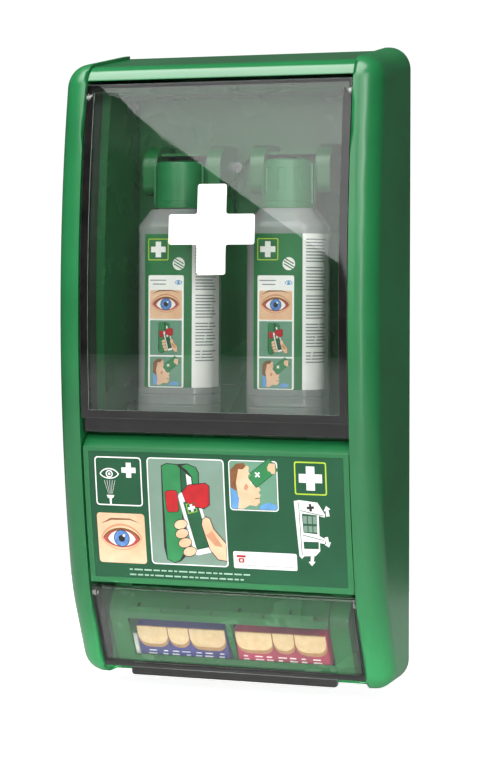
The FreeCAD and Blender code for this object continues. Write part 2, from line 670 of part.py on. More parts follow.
def cap():
    base = neck_base() + 0.3
    outer = Part.makeCone(cap_foot_radius, cap_radius, cap_height, Vector(0, 0, base))
    outer = outer.makeFillet(2.0, [e for e in outer.Edges if e.BoundBox.ZMin > base + cap_height - 0.1])
    for index in range(cap_flute_count):
        flute = Part.makeBox(cap_flute_depth * 4, cap_flute_width, cap_flute_high - cap_flute_low,
                             Vector(cap_radius - cap_flute_depth, -cap_flute_width / 2, base + cap_flute_low))
        flute.rotate(Vector(0, 0, 0), Vector(0, 0, 1), 360.0 * (index + 0.5) / cap_flute_count)
        outer = outer.cut(flute)
    for side in (-1, 1):
        for row in (-1, 1):
            x0, x1 = sorted((side * (cap_radius - 2.0), side * (fork_inner - cap_grip_gap)))
            rib = Part.makeBox(x1 - x0, cap_rib_width, cap_flute_high,
                               Vector(x0, row * cap_rib_offset - cap_rib_width / 2, base + 4.0))
            outer = outer.fuse(rib)
    inner = Part.makeCylinder(cap_radius - cap_wall, cap_height - cap_wall, Vector(0, 0, base))
    return outer.cut(inner).removeSplitter()


def holder():
    """Fork that grips the cap: two arms, a web and hood behind the cap, a foot on the liner."""
    arm = side_arm().translated(Vector(fork_inner, 0, 0))
    web = box(-fork_outer, fork_outer, liner_back, liner_back + 4.0, fork_low - fork_gusset_drop + 8, fork_high - 6)
    hood_low = fork_high - fork_hood_drop
    hood = box(-fork_inner - 1, fork_inner + 1, liner_back, bottle_depth - fork_hood_short, hood_low, hood_low + wall)
    foot_x = -right_bottle_x + cup_outer_radius + fit_gap
    centre = fork_centre
    foot = box(foot_x, 0, liner_back, liner_back + 2.0, centre - 8, centre + 8)
    body = arm.fuse(mirrored(arm)).fuse([web, hood, foot])
    pocket = Part.makeCylinder(screw_head_radius + 0.3, screw_head_height + 1.0,
                               at(liner_back + 2.0, centre, -holder_screw_offset), Vector(0, -1, 0))
    hole = Part.makeCylinder(screw_shank_radius, 10, at(liner_back - 2, centre, -holder_screw_offset),
                             Vector(0, -1, 0))
    return body.cut(pocket).cut(hole).removeSplitter()


def side_arm():
    """One arm from the side: deep rounded nose above, gusset below."""
    thick = fork_outer - fork_inner
    block = box(0, thick, liner_back, fork_reach, fork_low, fork_high)
    for height, radius in ((fork_high, fork_round), (fork_low, fork_round / 2)):
        nose = [e for e in block.Edges if along_x(e) and same_place(e, at(fork_reach, height)) < 0.01]
        block = block.makeFillet(radius, nose)
    gusset = [(liner_back, fork_low + 1), (liner_back + fork_gusset_reach, fork_low + 1),
              (liner_back, fork_low - fork_gusset_drop)]
    return block.fuse(column_solid(gusset, 0, thick)).removeSplitter()


def holder_screws():
    """The metal screws that fix the forks, one beside each inner arm."""
    seat = liner_back + 2.0
    x = right_bottle_x - holder_screw_offset
    centre = fork_centre
    head = Part.makeCylinder(screw_head_radius, screw_head_height, at(seat, centre, x), Vector(0, -1, 0))
    shank = Part.makeCylinder(screw_shank_radius, seat - wall - fit_gap, at(wall + fit_gap, centre, x),
                              Vector(0, -1, 0))
    slot = box(x - screw_head_radius, x + screw_head_radius, seat + screw_head_height - 0.8,
               seat + screw_head_height + 1, centre - 0.5, centre + 0.5)
    return both_sides(head.fuse(shank).cut(slot).removeSplitter())


def stood(shape, side):
    """Stand a piece drawn about the bottle's own axis in its place on the liner floor."""
    return shape.translated(at(bottle_depth, liner_floor + fit_gap, side * right_bottle_x))


def sided(shape, side):
    return shape if side > 0 else mirrored(shape)


pin_sizes = {
    "upper_lid_pins": (lid_pin_depth, lid_pin_height, lid_pin_radius, pane_wall),
    "front_panel_pins": (panel_pin_depth, panel_pin_height, panel_pin_radius, wall),
    "dispenser_lid_pins": (dispenser_pin_depth, dispenser_pin_height, dispenser_pin_radius, dispenser_pane_wall),
}
pieces = {
    "rear_panel": rear_panel(),
    "top_cover": top_cover(),
    "upper_liner": upper_liner(),
    "middle_tray": middle_tray(),
    "dispenser_housing": dispenser_housing(),
    "dispenser_bar": dispenser_bar(),
    "dispenser_divider": dispenser_divider(),
    "refill_key": refill_key(),
    "panel_catches": panel_catches(),
    "cheek_screws": cheek_screws(),
    "holder_screws": holder_screws(),
    "upper_lid": upper_lid(),
    "lid_cross": lid_cross(),
    "front_panel": front_panel(),
    "panel_label": label_pocket(0.15, label_sink - film_gap, fit_gap),
    "dispenser_lid": dispenser_lid(),
}
for name, sizes in pin_sizes.items():
    pieces[name] = pin_pair(*sizes)
right_cheek = cheek()
right_holder = holder().translated(Vector(right_bottle_x, 0, 0))
for side, word in ((-1, "left"), (1, "right")):
    pieces[word + "_cheek"] = sided(right_cheek, side)
    pieces[word + "_holder"] = sided(right_holder, side)
    pieces[word + "_bottle"] = stood(bottle(), side)
    pieces[word + "_bottle_label"] = stood(bottle_label(), side)
    pieces[word + "_eye_cup"] = stood(eye_cup(), side)
    pieces[word + "_cap"] = stood(cap(), side)
    pieces[word + "_refill"] = refill(side)
    pieces[word + "_plasters"] = plasters(side)

os.makedirs("parts", exist_ok=True)
for name, shape in pieces.items():
    shape.translated(Vector(0, 0, -mount_height)).exportStep("parts/" + name + ".step")
    print(name, len(shape.Solids), round(shape.Volume), shape.isValid())
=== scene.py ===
import json
import math

import bpy
from mathutils import Matrix, Vector

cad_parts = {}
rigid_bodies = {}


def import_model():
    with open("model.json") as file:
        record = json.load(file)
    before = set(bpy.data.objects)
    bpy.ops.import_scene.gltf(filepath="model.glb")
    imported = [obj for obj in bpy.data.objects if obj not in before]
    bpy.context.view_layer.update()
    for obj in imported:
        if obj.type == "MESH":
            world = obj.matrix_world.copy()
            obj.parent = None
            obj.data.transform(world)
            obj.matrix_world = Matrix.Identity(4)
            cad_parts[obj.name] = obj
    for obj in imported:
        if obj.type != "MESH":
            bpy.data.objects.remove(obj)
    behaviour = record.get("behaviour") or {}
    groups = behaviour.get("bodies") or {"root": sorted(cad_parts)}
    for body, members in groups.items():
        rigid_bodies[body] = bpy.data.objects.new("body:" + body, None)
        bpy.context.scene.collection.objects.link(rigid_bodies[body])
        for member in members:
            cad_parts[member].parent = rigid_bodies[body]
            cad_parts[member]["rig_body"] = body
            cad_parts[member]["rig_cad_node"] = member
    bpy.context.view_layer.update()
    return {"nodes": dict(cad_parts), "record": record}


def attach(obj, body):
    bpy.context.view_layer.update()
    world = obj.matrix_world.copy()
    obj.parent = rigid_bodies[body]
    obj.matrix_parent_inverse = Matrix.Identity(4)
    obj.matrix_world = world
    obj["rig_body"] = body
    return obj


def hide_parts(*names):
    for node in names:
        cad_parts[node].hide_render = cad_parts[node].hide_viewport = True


# Wall eyewash station. Sizes are in millimetres: x from the middle, d forward from the wall,
# z up from the cabinet's foot. toFrame turns them into the frame's metres.

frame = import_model()
nodes = frame["nodes"]
bodyOf = {node: body for body, members in frame["record"]["behaviour"]["bodies"].items() for node in members}

cabinet = {
    "footBelowOrigin": 299.0,
    "crestDepth": 120.0, "crestHeight": 338.0, "bowRadius": 1167.0, "labelInset": 2.15,
}


def toFrame(x, d, z):
    return Vector((x, -d, z - cabinet["footBelowOrigin"])) / 1000.0


def bowDepth(z, inset):
    reach = cabinet["bowRadius"] - inset
    return cabinet["crestDepth"] - cabinet["bowRadius"] + math.sqrt(reach ** 2 - (z - cabinet["crestHeight"]) ** 2)


# Materials. Every finish drifts a little in colour and gloss, so no surface is one flat tone.

def linearColour(text):
    values = [int(text[i:i + 2], 16) / 255.0 for i in (1, 3, 5)]
    return tuple(v / 12.92 if v <= 0.04045 else ((v + 0.055) / 1.055) ** 2.4 for v in values) + (1.0,)


def addNode(material, kind, settings=None, links=None):
    node = material.node_tree.nodes.new(kind)
    for name, value in (settings or {}).items():
        if name in node.inputs:
            node.inputs[name].default_value = value
        else:
            setattr(node, name, value)
    for name, (source, output) in (links or {}).items():
        material.node_tree.links.new(source.outputs[output], node.inputs[name])
    return node


def finishMaterial(name, look):
    # colour drifts a little over the piece, and a fine grain lifts the surface
    material = bpy.data.materials.new(name)
    material.use_nodes = True
    material.node_tree.nodes.clear()
    place = addNode(material, "ShaderNodeTexCoord")
    drift = addNode(material, "ShaderNodeTexNoise", {"Scale": 1000.0 / look["drift"], "Detail": 3.0},
                    {"Vector": (place, "Object")})
    ramp = addNode(material, "ShaderNodeValToRGB", links={"Fac": (drift, "Fac")})
    ramp.color_ramp.elements[0].color = linearColour(look["deep"])
    ramp.color_ramp.elements[0].position = 0.3
    ramp.color_ramp.elements[1].color = linearColour(look["colour"])
    ramp.color_ramp.elements[1].position = 0.7
    grain = addNode(material, "ShaderNodeTexNoise", {"Scale": 1000.0 / look["grain"], "Detail": 2.0},
                    {"Vector": (place, "Object")})
    rough = addNode(material, "ShaderNodeMapRange",
                    {"To Min": look["rough"] * 0.85, "To Max": look["rough"] * 1.2}, {"Value": (drift, "Fac")})
    bump = addNode(material, "ShaderNodeBump", {"Strength": look.get("bump", 0.1), "Distance": 0.0002},
                   {"Height": (grain, "Fac")})
    shader = addNode(material, "ShaderNodeBsdfPrincipled", look.get("shader", {}),
                     {"Base Color": (ramp, "Color"), "Roughness": (rough, "Result"),
                      "Normal": (bump, "Normal")})
    if "through" in look:
        # a clear sheet shows what is behind through its tint, and mirrors more as it turns away
        through = addNode(material, "ShaderNodeBsdfTransparent", {"Color": linearColour(look["through"])})
        mirror = addNode(material, "ShaderNodeFresnel", {"IOR": look["mirror"]}, {"Normal": (bump, "Normal")})
        body = addNode(material, "ShaderNodeMixShader", {"Fac": look["body"]},
                       {1: (through, "BSDF"), 2: (shader, "BSDF")})
        gloss = addNode(material, "ShaderNodeBsdfGlossy",
                        {"Color": (1.0, 1.0, 1.0, 1.0), "Roughness": look["rough"]},
                        {"Normal": (bump, "Normal")})
        shader = addNode(material, "ShaderNodeMixShader",
                         links={"Fac": (mirror, "Fac"), 1: (body, "Shader"), 2: (gloss, "BSDF")})
        addNode(material, "ShaderNodeOutputMaterial", links={"Surface": (shader, "Shader")})
        return material
    addNode(material, "ShaderNodeOutputMaterial", links={"Surface": (shader, "BSDF")})
    return material


finishes = {
    # injection-moulded ABS with a fine spark grain: satin, with long soft highlights
    "greenAbs": {"colour": "#1D7440", "deep": "#176637", "drift": 90.0, "grain": 0.9, "rough": 0.30,
                 "bump": 0.12,
                 "shader": {"IOR": 1.53, "Coat Weight": 0.15, "Coat Roughness": 0.18}},
    # the cover over the top comes from a smoother mould: a broad pale band of light
    "greenAbsPolished": {"colour": "#1D7440", "deep": "#176637", "drift": 90.0, "grain": 0.9, "rough": 0.17,
                         "bump": 0.04,
                         "shader": {"IOR": 1.53, "Coat Weight": 0.3, "Coat Roughness": 0.14}},
    # the same ABS from a polished mould, for the tub and the forks
    "greenAbsTub": {"colour": "#177038", "deep": "#10602D", "drift": 60.0, "grain": 1.2, "rough": 0.26,
                    "bump": 0.08,
                    "shader": {"IOR": 1.53}},
    # polypropylene caps: a little waxy
    "greenPolypropylene": {"colour": "#1F8048", "deep": "#18713C", "drift": 20.0, "grain": 0.7, "rough": 0.36,
                           "bump": 0.1,
                           "shader": {"IOR": 1.49, "Subsurface Weight": 0.12, "Subsurface Scale": 0.003}},
    # blow-moulded LDPE: milky, lets the saline and the green behind show through
    "milkyPolyethylene": {"colour": "#F2F7F4", "deep": "#E9F0EC", "drift": 26.0, "grain": 3.0, "rough": 0.16,
                          "bump": 0.10,
                          "through": "#DDEDE4", "mirror": 1.45, "body": 0.3,
                          "shader": {"IOR": 1.5, "Subsurface Weight": 0.3, "Subsurface Scale": 0.004}},
    # injection-moulded polycarbonate, polished: clear, the faintest grey
    "clearPolycarbonate": {"colour": "#E9EFEC", "deep": "#E2E9E5", "drift": 200.0, "grain": 40.0, "rough": 0.01,
                           "bump": 0.0, "through": "#FDFEFD", "mirror": 1.4, "body": 0.004},
    # painted shade: the same clear sheet tinted dark where its walls and corners, seen edge on, pile up into a
    # dark smoky line; its bright glints come from its own gloss
    "paintedShadeEdgePolycarbonate": {"colour": "#1E1D1C", "deep": "#0E0D0D", "drift": 14.0, "grain": 8.0, "rough": 0.06,
                          "bump": 0.02, "through": "#8C8A88", "mirror": 1.4, "body": 0.86,
                          "shader": {"IOR": 1.5, "Specular IOR Level": 0.15}},
    # painted highlight: the rounded corners of that sheet coloured pale, standing for the light they catch as pale
    # lines
    "paintedGlintPolycarbonate": {"colour": "#C4CCC8", "deep": "#9EA7A2", "drift": 9.0, "grain": 6.0, "rough": 0.12,
                           "bump": 0.02, "through": "#D5D9D6", "mirror": 1.6, "body": 0.5},
    # smoke-tinted polycarbonate over the plasters
    "smokedPolycarbonate": {"colour": "#8E9290", "deep": "#7D817F", "drift": 60.0, "grain": 30.0, "rough": 0.02,
                            "bump": 0.0, "through": "#F4F5F4", "mirror": 1.4, "body": 0.008},
    # zinc-plated steel screws
    "zincPlatedSteel": {"colour": "#C9CCCD", "deep": "#AEB2B4", "drift": 3.0, "grain": 0.5, "rough": 0.28,
                        "bump": 0.1,
                        "shader": {"Metallic": 1.0}},
    # white nylon hinge pins
    "whiteNylon": {"colour": "#F1F1EC", "deep": "#E2E2DC", "drift": 6.0, "grain": 0.8, "rough": 0.4,
                   "bump": 0.1,
                   "shader": {"IOR": 1.53}},
    # pale grey polypropylene key
    "greyPolypropylene": {"colour": "#C6CCC6", "deep": "#B5BCB5", "drift": 8.0, "grain": 0.8, "rough": 0.42,
                          "bump": 0.1,
                          "shader": {"IOR": 1.49}},
    # translucent elastomer eye cup
    "paleElastomer": {"colour": "#DDECE2", "deep": "#CFE2D6", "drift": 9.0, "grain": 0.8, "rough": 0.45,
                      "bump": 0.1,
                      "shader": {"IOR": 1.45}},
    # printed adhesive film: deep green with a dull gloss
    "greenFilm": {"colour": "#1F5639", "deep": "#1B4E32", "drift": 40.0, "grain": 1.5, "rough": 0.34,
                  "bump": 0.05,
                  "shader": {"IOR": 1.38}},
    # the thinner film on the bottles: a brighter green with the same dull gloss
    "bottleFilmGreen": {"colour": "#2A7A45", "deep": "#226C3B", "drift": 30.0, "grain": 1.5, "rough": 0.3,
                        "bump": 0.05,
                        "shader": {"IOR": 1.5}},
    # screen-printed inks: dry, even colour with a slight sheen
    "whiteInk": {"colour": "#F8F8F5", "deep": "#F0F1EC", "drift": 12.0, "grain": 1.0, "rough": 0.42,
                 "bump": 0.04,
                 "shader": {"IOR": 1.5}},
    # grey small print, read as thin lines
    "greyInk": {"colour": "#8C9491", "deep": "#7D8583", "drift": 12.0, "grain": 1.0, "rough": 0.42,
                "bump": 0.04},
    # the bright yellow-green border of the first aid sign
    "yellowGreenInk": {"colour": "#B9D63A", "deep": "#A9CB33", "drift": 12.0, "grain": 1.0, "rough": 0.42,
                       "bump": 0.04},
    # clear red of the drawn fork cover and the telephone
    "redInk": {"colour": "#C4161F", "deep": "#AE1019", "drift": 9.0, "grain": 1.0, "rough": 0.42, "bump": 0.04},
    # a muted green ground behind the small pictures
    "midGreenInk": {"colour": "#6E9D83", "deep": "#659479", "drift": 25.0, "grain": 1.0, "rough": 0.42,
                    "bump": 0.04},
    # the darkest green: what lies in shade in the drawings
    "deepGreenInk": {"colour": "#17603A", "deep": "#115030", "drift": 18.0, "grain": 1.0, "rough": 0.42,
                     "bump": 0.04},
    # the lit green of the drawn cabinet and bottle
    "leafGreenInk": {"colour": "#2F8A50", "deep": "#257A44", "drift": 18.0, "grain": 1.0, "rough": 0.42,
                     "bump": 0.04},
    # warm skin of the drawn hands, eye and head
    "skinInk": {"colour": "#EFC9A6", "deep": "#E5B48D", "drift": 14.0, "grain": 1.0, "rough": 0.42,
                "bump": 0.04},
    # the same skin in its folds
    "skinShadeInk": {"colour": "#D79C77", "deep": "#C98A66", "drift": 8.0, "grain": 1.0, "rough": 0.42,
                     "bump": 0.04},
    # the eye's red rim
    "rimInk": {"colour": "#C2574A", "deep": "#A9443A", "drift": 5.0, "grain": 1.0, "rough": 0.42, "bump": 0.04},
    # an uneven blue iris
    "irisInk": {"colour": "#6C9AD6", "deep": "#3F6BB0", "drift": 2.4, "grain": 0.8, "rough": 0.38,
                "bump": 0.04},
    # a quiet grey-green ground for the large picture
    "greyGreenInk": {"colour": "#7F9A8C", "deep": "#77927F", "drift": 25.0, "grain": 1.0, "rough": 0.42,
                     "bump": 0.04},
    # pale bars that stand for small print
    "paleGreenInk": {"colour": "#A9C9B4", "deep": "#9CBFA8", "drift": 25.0, "grain": 1.0, "rough": 0.42,
                     "bump": 0.04},
    # near-black outlines and pupils
    "darkInk": {"colour": "#23211F", "deep": "#191716", "drift": 9.0, "grain": 1.0, "rough": 0.42,
                "bump": 0.04},
    # slightly uneven brown hair, lashes and brow
    "brownInk": {"colour": "#8A5A35", "deep": "#74481F", "drift": 5.0, "grain": 0.8, "rough": 0.45,
                 "bump": 0.04},
    # light blue cloths and small eye signs
    "blueInk": {"colour": "#6FA8DC", "deep": "#5A95CC", "drift": 9.0, "grain": 1.0, "rough": 0.42,
                "bump": 0.04},
    # coated card of the two refills: strong colour, half gloss
    "violetCard": {"colour": "#3A3F8E", "deep": "#2A2C6B", "drift": 45.0, "grain": 1.0, "rough": 0.35,
                   "bump": 0.05},
    # the right-hand card: rose, mottled from bright to dark
    "roseCard": {"colour": "#C42F5C", "deep": "#7E1F3B", "drift": 45.0, "grain": 1.0, "rough": 0.35,
                 "bump": 0.05},
    # woven plaster strips: warm beige with a visible weave
    "wovenPlaster": {"colour": "#EBD2A6", "deep": "#DDBD8C", "drift": 5.0, "grain": 0.6, "rough": 0.75,
                     "bump": 0.5},
    # painted shade: the same strips coloured darker where the front one shades them
    "paintedShadePlaster": {"colour": "#B98F62", "deep": "#A57B50", "drift": 5.0, "grain": 0.6, "rough": 0.8,
                      "bump": 0.5},
    # matt painted floor: lets only a faint shadow show
    "paleFloor": {"colour": "#D2D2D2", "deep": "#CDCDCD", "drift": 400.0, "grain": 3.0, "rough": 0.8,
                  "bump": 0.02},
}
made = {}


def finish(name):
    if name not in made:
        made[name] = finishMaterial(name, finishes[name])
    return made[name]


# Handling pieces.

def onlySelect(piece):
    if bpy.context.object and bpy.context.object.mode != "OBJECT":
        bpy.ops.object.mode_set(mode="OBJECT")
    bpy.ops.object.select_all(action="DESELECT")
    piece.select_set(True)
    bpy.context.view_layer.objects.active = piece


def editAll(piece):
    onlySelect(piece)
    bpy.ops.object.mode_set(mode="EDIT")
    bpy.ops.mesh.select_all(action="SELECT")


def leaveEdit():
    bpy.ops.object.mode_set(mode="OBJECT")


def selectFaces(piece, test):
    leaveEdit()
    for face in piece.data.polygons:
        face.select = bool(test(face))
    bpy.ops.object.mode_set(mode="EDIT")
    bpy.ops.mesh.select_mode(type="FACE")


def settle(piece, name, material, body, node=None, angle=30.0):
    # place goes into the mesh, then the piece gets its finish and the body it moves with
    onlySelect(piece)
    bpy.ops.object.transform_apply(location=True, rotation=True, scale=True)
    bpy.ops.object.shade_smooth_by_angle(angle=math.radians(angle))
    if len(piece.data.polygons) > 12:
        # broad faces keep their own direction and the narrow roundings take the bend; plain boxes need none
        flat = piece.modifiers.new("flat", "WEIGHTED_NORMAL")
        flat.keep_sharp = True
        flat.weight = 80
        bpy.ops.object.modifier_apply(modifier="flat")
    piece.name = name
    piece.data.name = name
    if material:
        piece.data.materials.clear()
        piece.data.materials.append(finish(material))
    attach(piece, body)
    if node:
        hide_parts(*([node] if isinstance(node, str) else node))
    return piece


def outward(piece):
    editAll(piece)
    bpy.ops.mesh.remove_doubles(threshold=1e-6)
    bpy.ops.mesh.normals_make_consistent(inside=False)
    leaveEdit()


def bevelled(piece, width, segments=2, angle=35.0):
    onlySelect(piece)
    rounding = piece.modifiers.new("edge", "BEVEL")
    rounding.width = width / 1000.0
    rounding.segments = segments
    rounding.limit_method = "ANGLE"
    rounding.angle_limit = math.radians(angle)
    bpy.ops.object.modifier_apply(modifier="edge")


def carried(node, material, edge=0.0, name=None, segments=2):
    # a merged copy of a CAD node, with its moulded edges softened
    piece = nodes[node].copy()
    piece.data = nodes[node].data.copy()
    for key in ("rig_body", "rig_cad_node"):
        if key in piece:
            del piece[key]
    piece.parent = None
    bpy.context.scene.collection.objects.link(piece)
    editAll(piece)
    bpy.ops.mesh.remove_doubles(threshold=2e-6)
    if edge:
        bpy.ops.mesh.dissolve_limited(angle_limit=math.radians(0.6))
    leaveEdit()
    if edge:
        bevelled(piece, edge, segments)
    return settle(piece, name or node.replace("_", "") + "Shown", material, bodyOf[node], node)


# Printed shapes: drawn flat in millimetres, then laid on a surface.

def roundRect(cx, cz, width, height, radius, steps=6):
    points = []
    corners = ((1, 1, 0), (-1, 1, 90), (-1, -1, 180), (1, -1, 270))
    for sx, sz, start in corners:
        for step in range(steps + 1):
            angle = math.radians(start + 90.0 * step / steps)
            points.append((cx + sx * (width / 2 - radius) + radius * math.cos(angle),
                           cz + sz * (height / 2 - radius) + radius * math.sin(angle)))
    return points


def oval(cx, cz, rx, rz, steps=36):
    return [(cx + rx * math.cos(math.radians(360.0 * i / steps)),
             cz + rz * math.sin(math.radians(360.0 * i / steps))) for i in range(steps)]


def crossShape(cx, cz, size, arm):
    a, b = size / 2, arm / 2
    outline = [(b, a), (-b, a), (-b, b), (-a, b), (-a, -b), (-b, -b), (-b, -a), (b, -a), (b, -b), (a, -b),
               (a, b), (b, b)]
    return [(cx + x, cz + z) for x, z in outline]


def eyeShape(cx, cz, width, height, steps=16):
    # two shallow arcs that meet at the corners of the eye
    upper = [(cx + width / 2 * math.cos(math.pi * i / steps),
              cz + height / 2 * math.sin(math.pi * i / steps) ** 1.4)
             for i in range(steps + 1)]
    lower = [(cx - width / 2 * math.cos(math.pi * i / steps),
              cz - height / 2 * math.sin(math.pi * i / steps) ** 1.4 * 0.85)
             for i in range(1, steps)]
    return upper + lower


def moved(points, dx, dz, scale=1.0, turn=0.0):
    c, s = math.cos(math.radians(turn)), math.sin(math.radians(turn))
    return [(dx + scale * (x * c - z * s), dz + scale * (x * s + z * c)) for x, z in points]


def printed(name, loops, surface, lift, pitch=8.0, cuts="z"):
    # a flat shape in millimetres, cut into strips so that it can follow the curved surface
    flat = bpy.data.curves.new(name, "CURVE")
    flat.dimensions = "2D"
    flat.fill_mode = "BOTH"
    for loop in loops:
        line = flat.splines.new("POLY")
        line.points.add(len(loop) - 1)
        for point, (x, z) in zip(line.points, loop):
            point.co = (x, z, 0.0, 1.0)
        line.use_cyclic_u = True
    piece = bpy.data.objects.new(name, flat)
    bpy.context.scene.collection.objects.link(piece)
    onlySelect(piece)
    bpy.ops.object.convert(target="MESH")
    piece = bpy.context.object
    xs = [v.co.x for v in piece.data.vertices]
    zs = [v.co.y for v in piece.data.vertices]
    for axis, values in ((1, zs), (0, xs)):
        if "zx"[1 - axis] not in cuts:
            continue
        low, high = min(values), max(values)
        for step in range(int(math.ceil(low / pitch)), int(math.floor(high / pitch)) + 1):
            if low + 0.05 < step * pitch < high - 0.05:
                editAll(piece)
                where = (0, step * pitch, 0) if axis else (step * pitch, 0, 0)
                bpy.ops.mesh.bisect(plane_co=where, plane_no=(0, 1, 0) if axis else (1, 0, 0))
                leaveEdit()
    for vertex in piece.data.vertices:
        vertex.co = surface(vertex.co.x, vertex.co.y, lift)
    return piece


inkPiles = {}


def stamp(body, ink, loops, surface, lift, **more):
    # prints of one ink on one body are gathered, then joined into one piece
    pile = inkPiles.setdefault((body, ink), [])
    pile.append(printed("print", loops, surface, lift, **more))


def joinPrints():
    for (body, ink), pile in inkPiles.items():
        onlySelect(pile[0])
        for piece in pile:
            piece.select_set(True)
        if len(pile) > 1:
            bpy.ops.object.join()
        settle(bpy.context.object, body.replace("_", "") + "_" + ink + "Print", ink, body)


# Casing, from the CAD nodes.

print("casing")
for side in ("left", "right"):
    carried(side + "_cheek", "greenAbs")
carried("top_cover", "greenAbsPolished", 0.8)
carried("rear_panel", "greenAbs")
carried("upper_liner", "greenAbsTub", 0.9)
carried("middle_tray", "greenAbsTub")
carried("dispenser_housing", "greenAbsTub", 0.5)
carried("dispenser_bar", "greenAbsTub", 0.4)
carried("dispenser_divider", "greenAbsTub", 0.4)
carried("panel_catches", "greenAbsTub")
for side in ("left", "right"):
    carried(side + "_holder", "greenAbsTub", 1.8, segments=3)
for node in ("cheek_screws", "holder_screws"):
    carried(node, "zincPlatedSteel")
carried("refill_key", "greyPolypropylene", 0.3)
for node in ("upper_lid_pins", "front_panel_pins", "dispenser_lid_pins"):
    carried(node, "whiteNylon", 0.3)

print("lids and panel")
carried("front_panel", "greenAbs", 0.9, segments=3)
carried("panel_label", "greenFilm")
carried("lid_cross", "whiteInk")


# the painted dark edge shade and the painted pale glint that the clear lids wear, and how narrow a rounding must
# be to take the glint
clearSheet = {"paintedEdgeLooks": ("paintedShadeEdgePolycarbonate", "paintedGlintPolycarbonate"), "paintedGlintWidth": 0.28}


def narrow(piece, face):
    # the thin roundings along a moulded edge, which get the painted pale glint
    points = [piece.data.vertices[index].co for index in face.vertices]
    around = sum((points[i] - points[i - 1]).length for i in range(len(points)))
    return face.area / around < clearSheet["paintedGlintWidth"] / 1000.0


def addPaintedEdgeLooks(piece):
    for look in clearSheet["paintedEdgeLooks"]:
        piece.data.materials.append(finish(look))


# the flap's bottom strip and side borders get the painted dark edge shade, its thin roundings the painted pale
# glint
flapLook = {"low": 12.0, "halfWidth": 117.0}
flap = carried("dispenser_lid", "smokedPolycarbonate", 0.6)
addPaintedEdgeLooks(flap)
for face in flap.data.polygons:
    centre = face.center * 1000.0
    low = centre.z + cabinet["footBelowOrigin"] < flapLook["low"]
    face.material_index = 2 if narrow(flap, face) else 1 if low or abs(centre.x) > flapLook["halfWidth"] else 0

# outside its clear window the lid gets the painted dark edge shade, its thin roundings the painted pale glint
lidLook = {"border": 7.4, "low": 240.5, "high": 516.0, "halfWidth": 120.3}
lid = carried("upper_lid", "clearPolycarbonate", 0.7)
addPaintedEdgeLooks(lid)
for face in lid.data.polygons:
    centre = face.center * 1000.0
    z = centre.z + cabinet["footBelowOrigin"]
    inside = abs(centre.x) < lidLook["halfWidth"] - lidLook["border"] and lidLook["low"] < z < lidLook["high"]
    face.material_index = 2 if narrow(lid, face) else 0 if inside else 1

# Bottles, caps and their labels.

bottle = {
    "spacing": 100.6, "depth": 57.0, "floor": 233.2,
    "halfWidth": 34.5, "halfDepth": 29.0, "corner": 19.0,
    # height, half width, half depth of each moulded ring
    "rings": ((0.0, 31.0, 25.6), (0.8, 32.6, 27.2), (2.4, 33.9, 28.4), (4.6, 34.5, 29.0),
              (9.4, 34.5, 29.0), (9.9, 34.1, 28.6), (10.8, 34.1, 28.6), (11.3, 34.5, 29.0),
              (18.8, 34.5, 29.0), (19.3, 34.15, 28.65), (20.0, 34.15, 28.65), (20.5, 34.5, 29.0),
              (24.0, 34.5, 29.0), (25.0, 34.2, 28.7), (161.0, 34.2, 28.7), (162.0, 34.5, 29.0),
              (165.5, 34.5, 29.0), (168.5, 33.9, 28.5), (171.0, 32.3, 27.2), (178.0, 27.0, 24.2),
              (180.6, 25.4, 23.0), (182.0, 24.0, 22.0), (182.1, 18.0, 18.0), (189.9, 17.0, 17.0)),
}


def raiseRings(name, centre, half, corner, rings, cornerSteps=8):
    # a rounded plan section, pulled up ring by ring
    x0, d0, z0 = centre
    bpy.ops.object.select_all(action="DESELECT")
    bpy.ops.mesh.primitive_plane_add(size=1.0, location=toFrame(x0, d0, z0 + rings[0][0]))
    piece = bpy.context.object
    piece.name = name
    pivot = toFrame(x0, d0, z0)
    editAll(piece)
    bpy.ops.transform.resize(value=(2 * half[0] / 1000.0, 2 * half[1] / 1000.0, 1.0), center_override=pivot)
    bpy.ops.mesh.bevel(offset=corner / 1000.0, segments=cornerSteps, affect="VERTICES")
    bpy.ops.mesh.select_all(action="SELECT")
    last = rings[0]
    bpy.ops.transform.resize(value=(last[1] / half[0], last[2] / half[1], 1.0), center_override=pivot)
    for ring in rings[1:]:
        bpy.ops.mesh.extrude_region_move(TRANSFORM_OT_translate={"value": (0, 0, (ring[0] - last[0]) / 1000.0)})
        bpy.ops.transform.resize(value=(ring[1] / last[1], ring[2] / last[2], 1.0), center_override=pivot)
        last = ring
    leaveEdit()
    outward(piece)
    return piece


def bottleSurface(centreX):
    # arc length round the body, measured from the middle of its front
    flat = bottle["halfWidth"] - bottle["corner"]
    side = bottle["halfDepth"] - bottle["corner"]

    def place(u, v, lift):
        radius = bottle["corner"] + lift
        quarter = bottle["corner"] * math.pi / 2
        s = abs(u)
        if s <= flat:
            x, y = s, bottle["halfDepth"] + lift
        elif s <= flat + quarter:
            angle = (s - flat) / bottle["corner"]
            x, y = flat + radius * math.sin(angle), side + radius * math.cos(angle)
        else:
            x, y = bottle["halfWidth"] + lift, side - (s - flat - quarter)
        return toFrame(centreX + math.copysign(x, u), bottle["depth"] + y, bottle["floor"] + v)

    return place


def panelSurface(u, v, lift):
    return toFrame(u, bowDepth(v, cabinet["labelInset"] - lift), v)


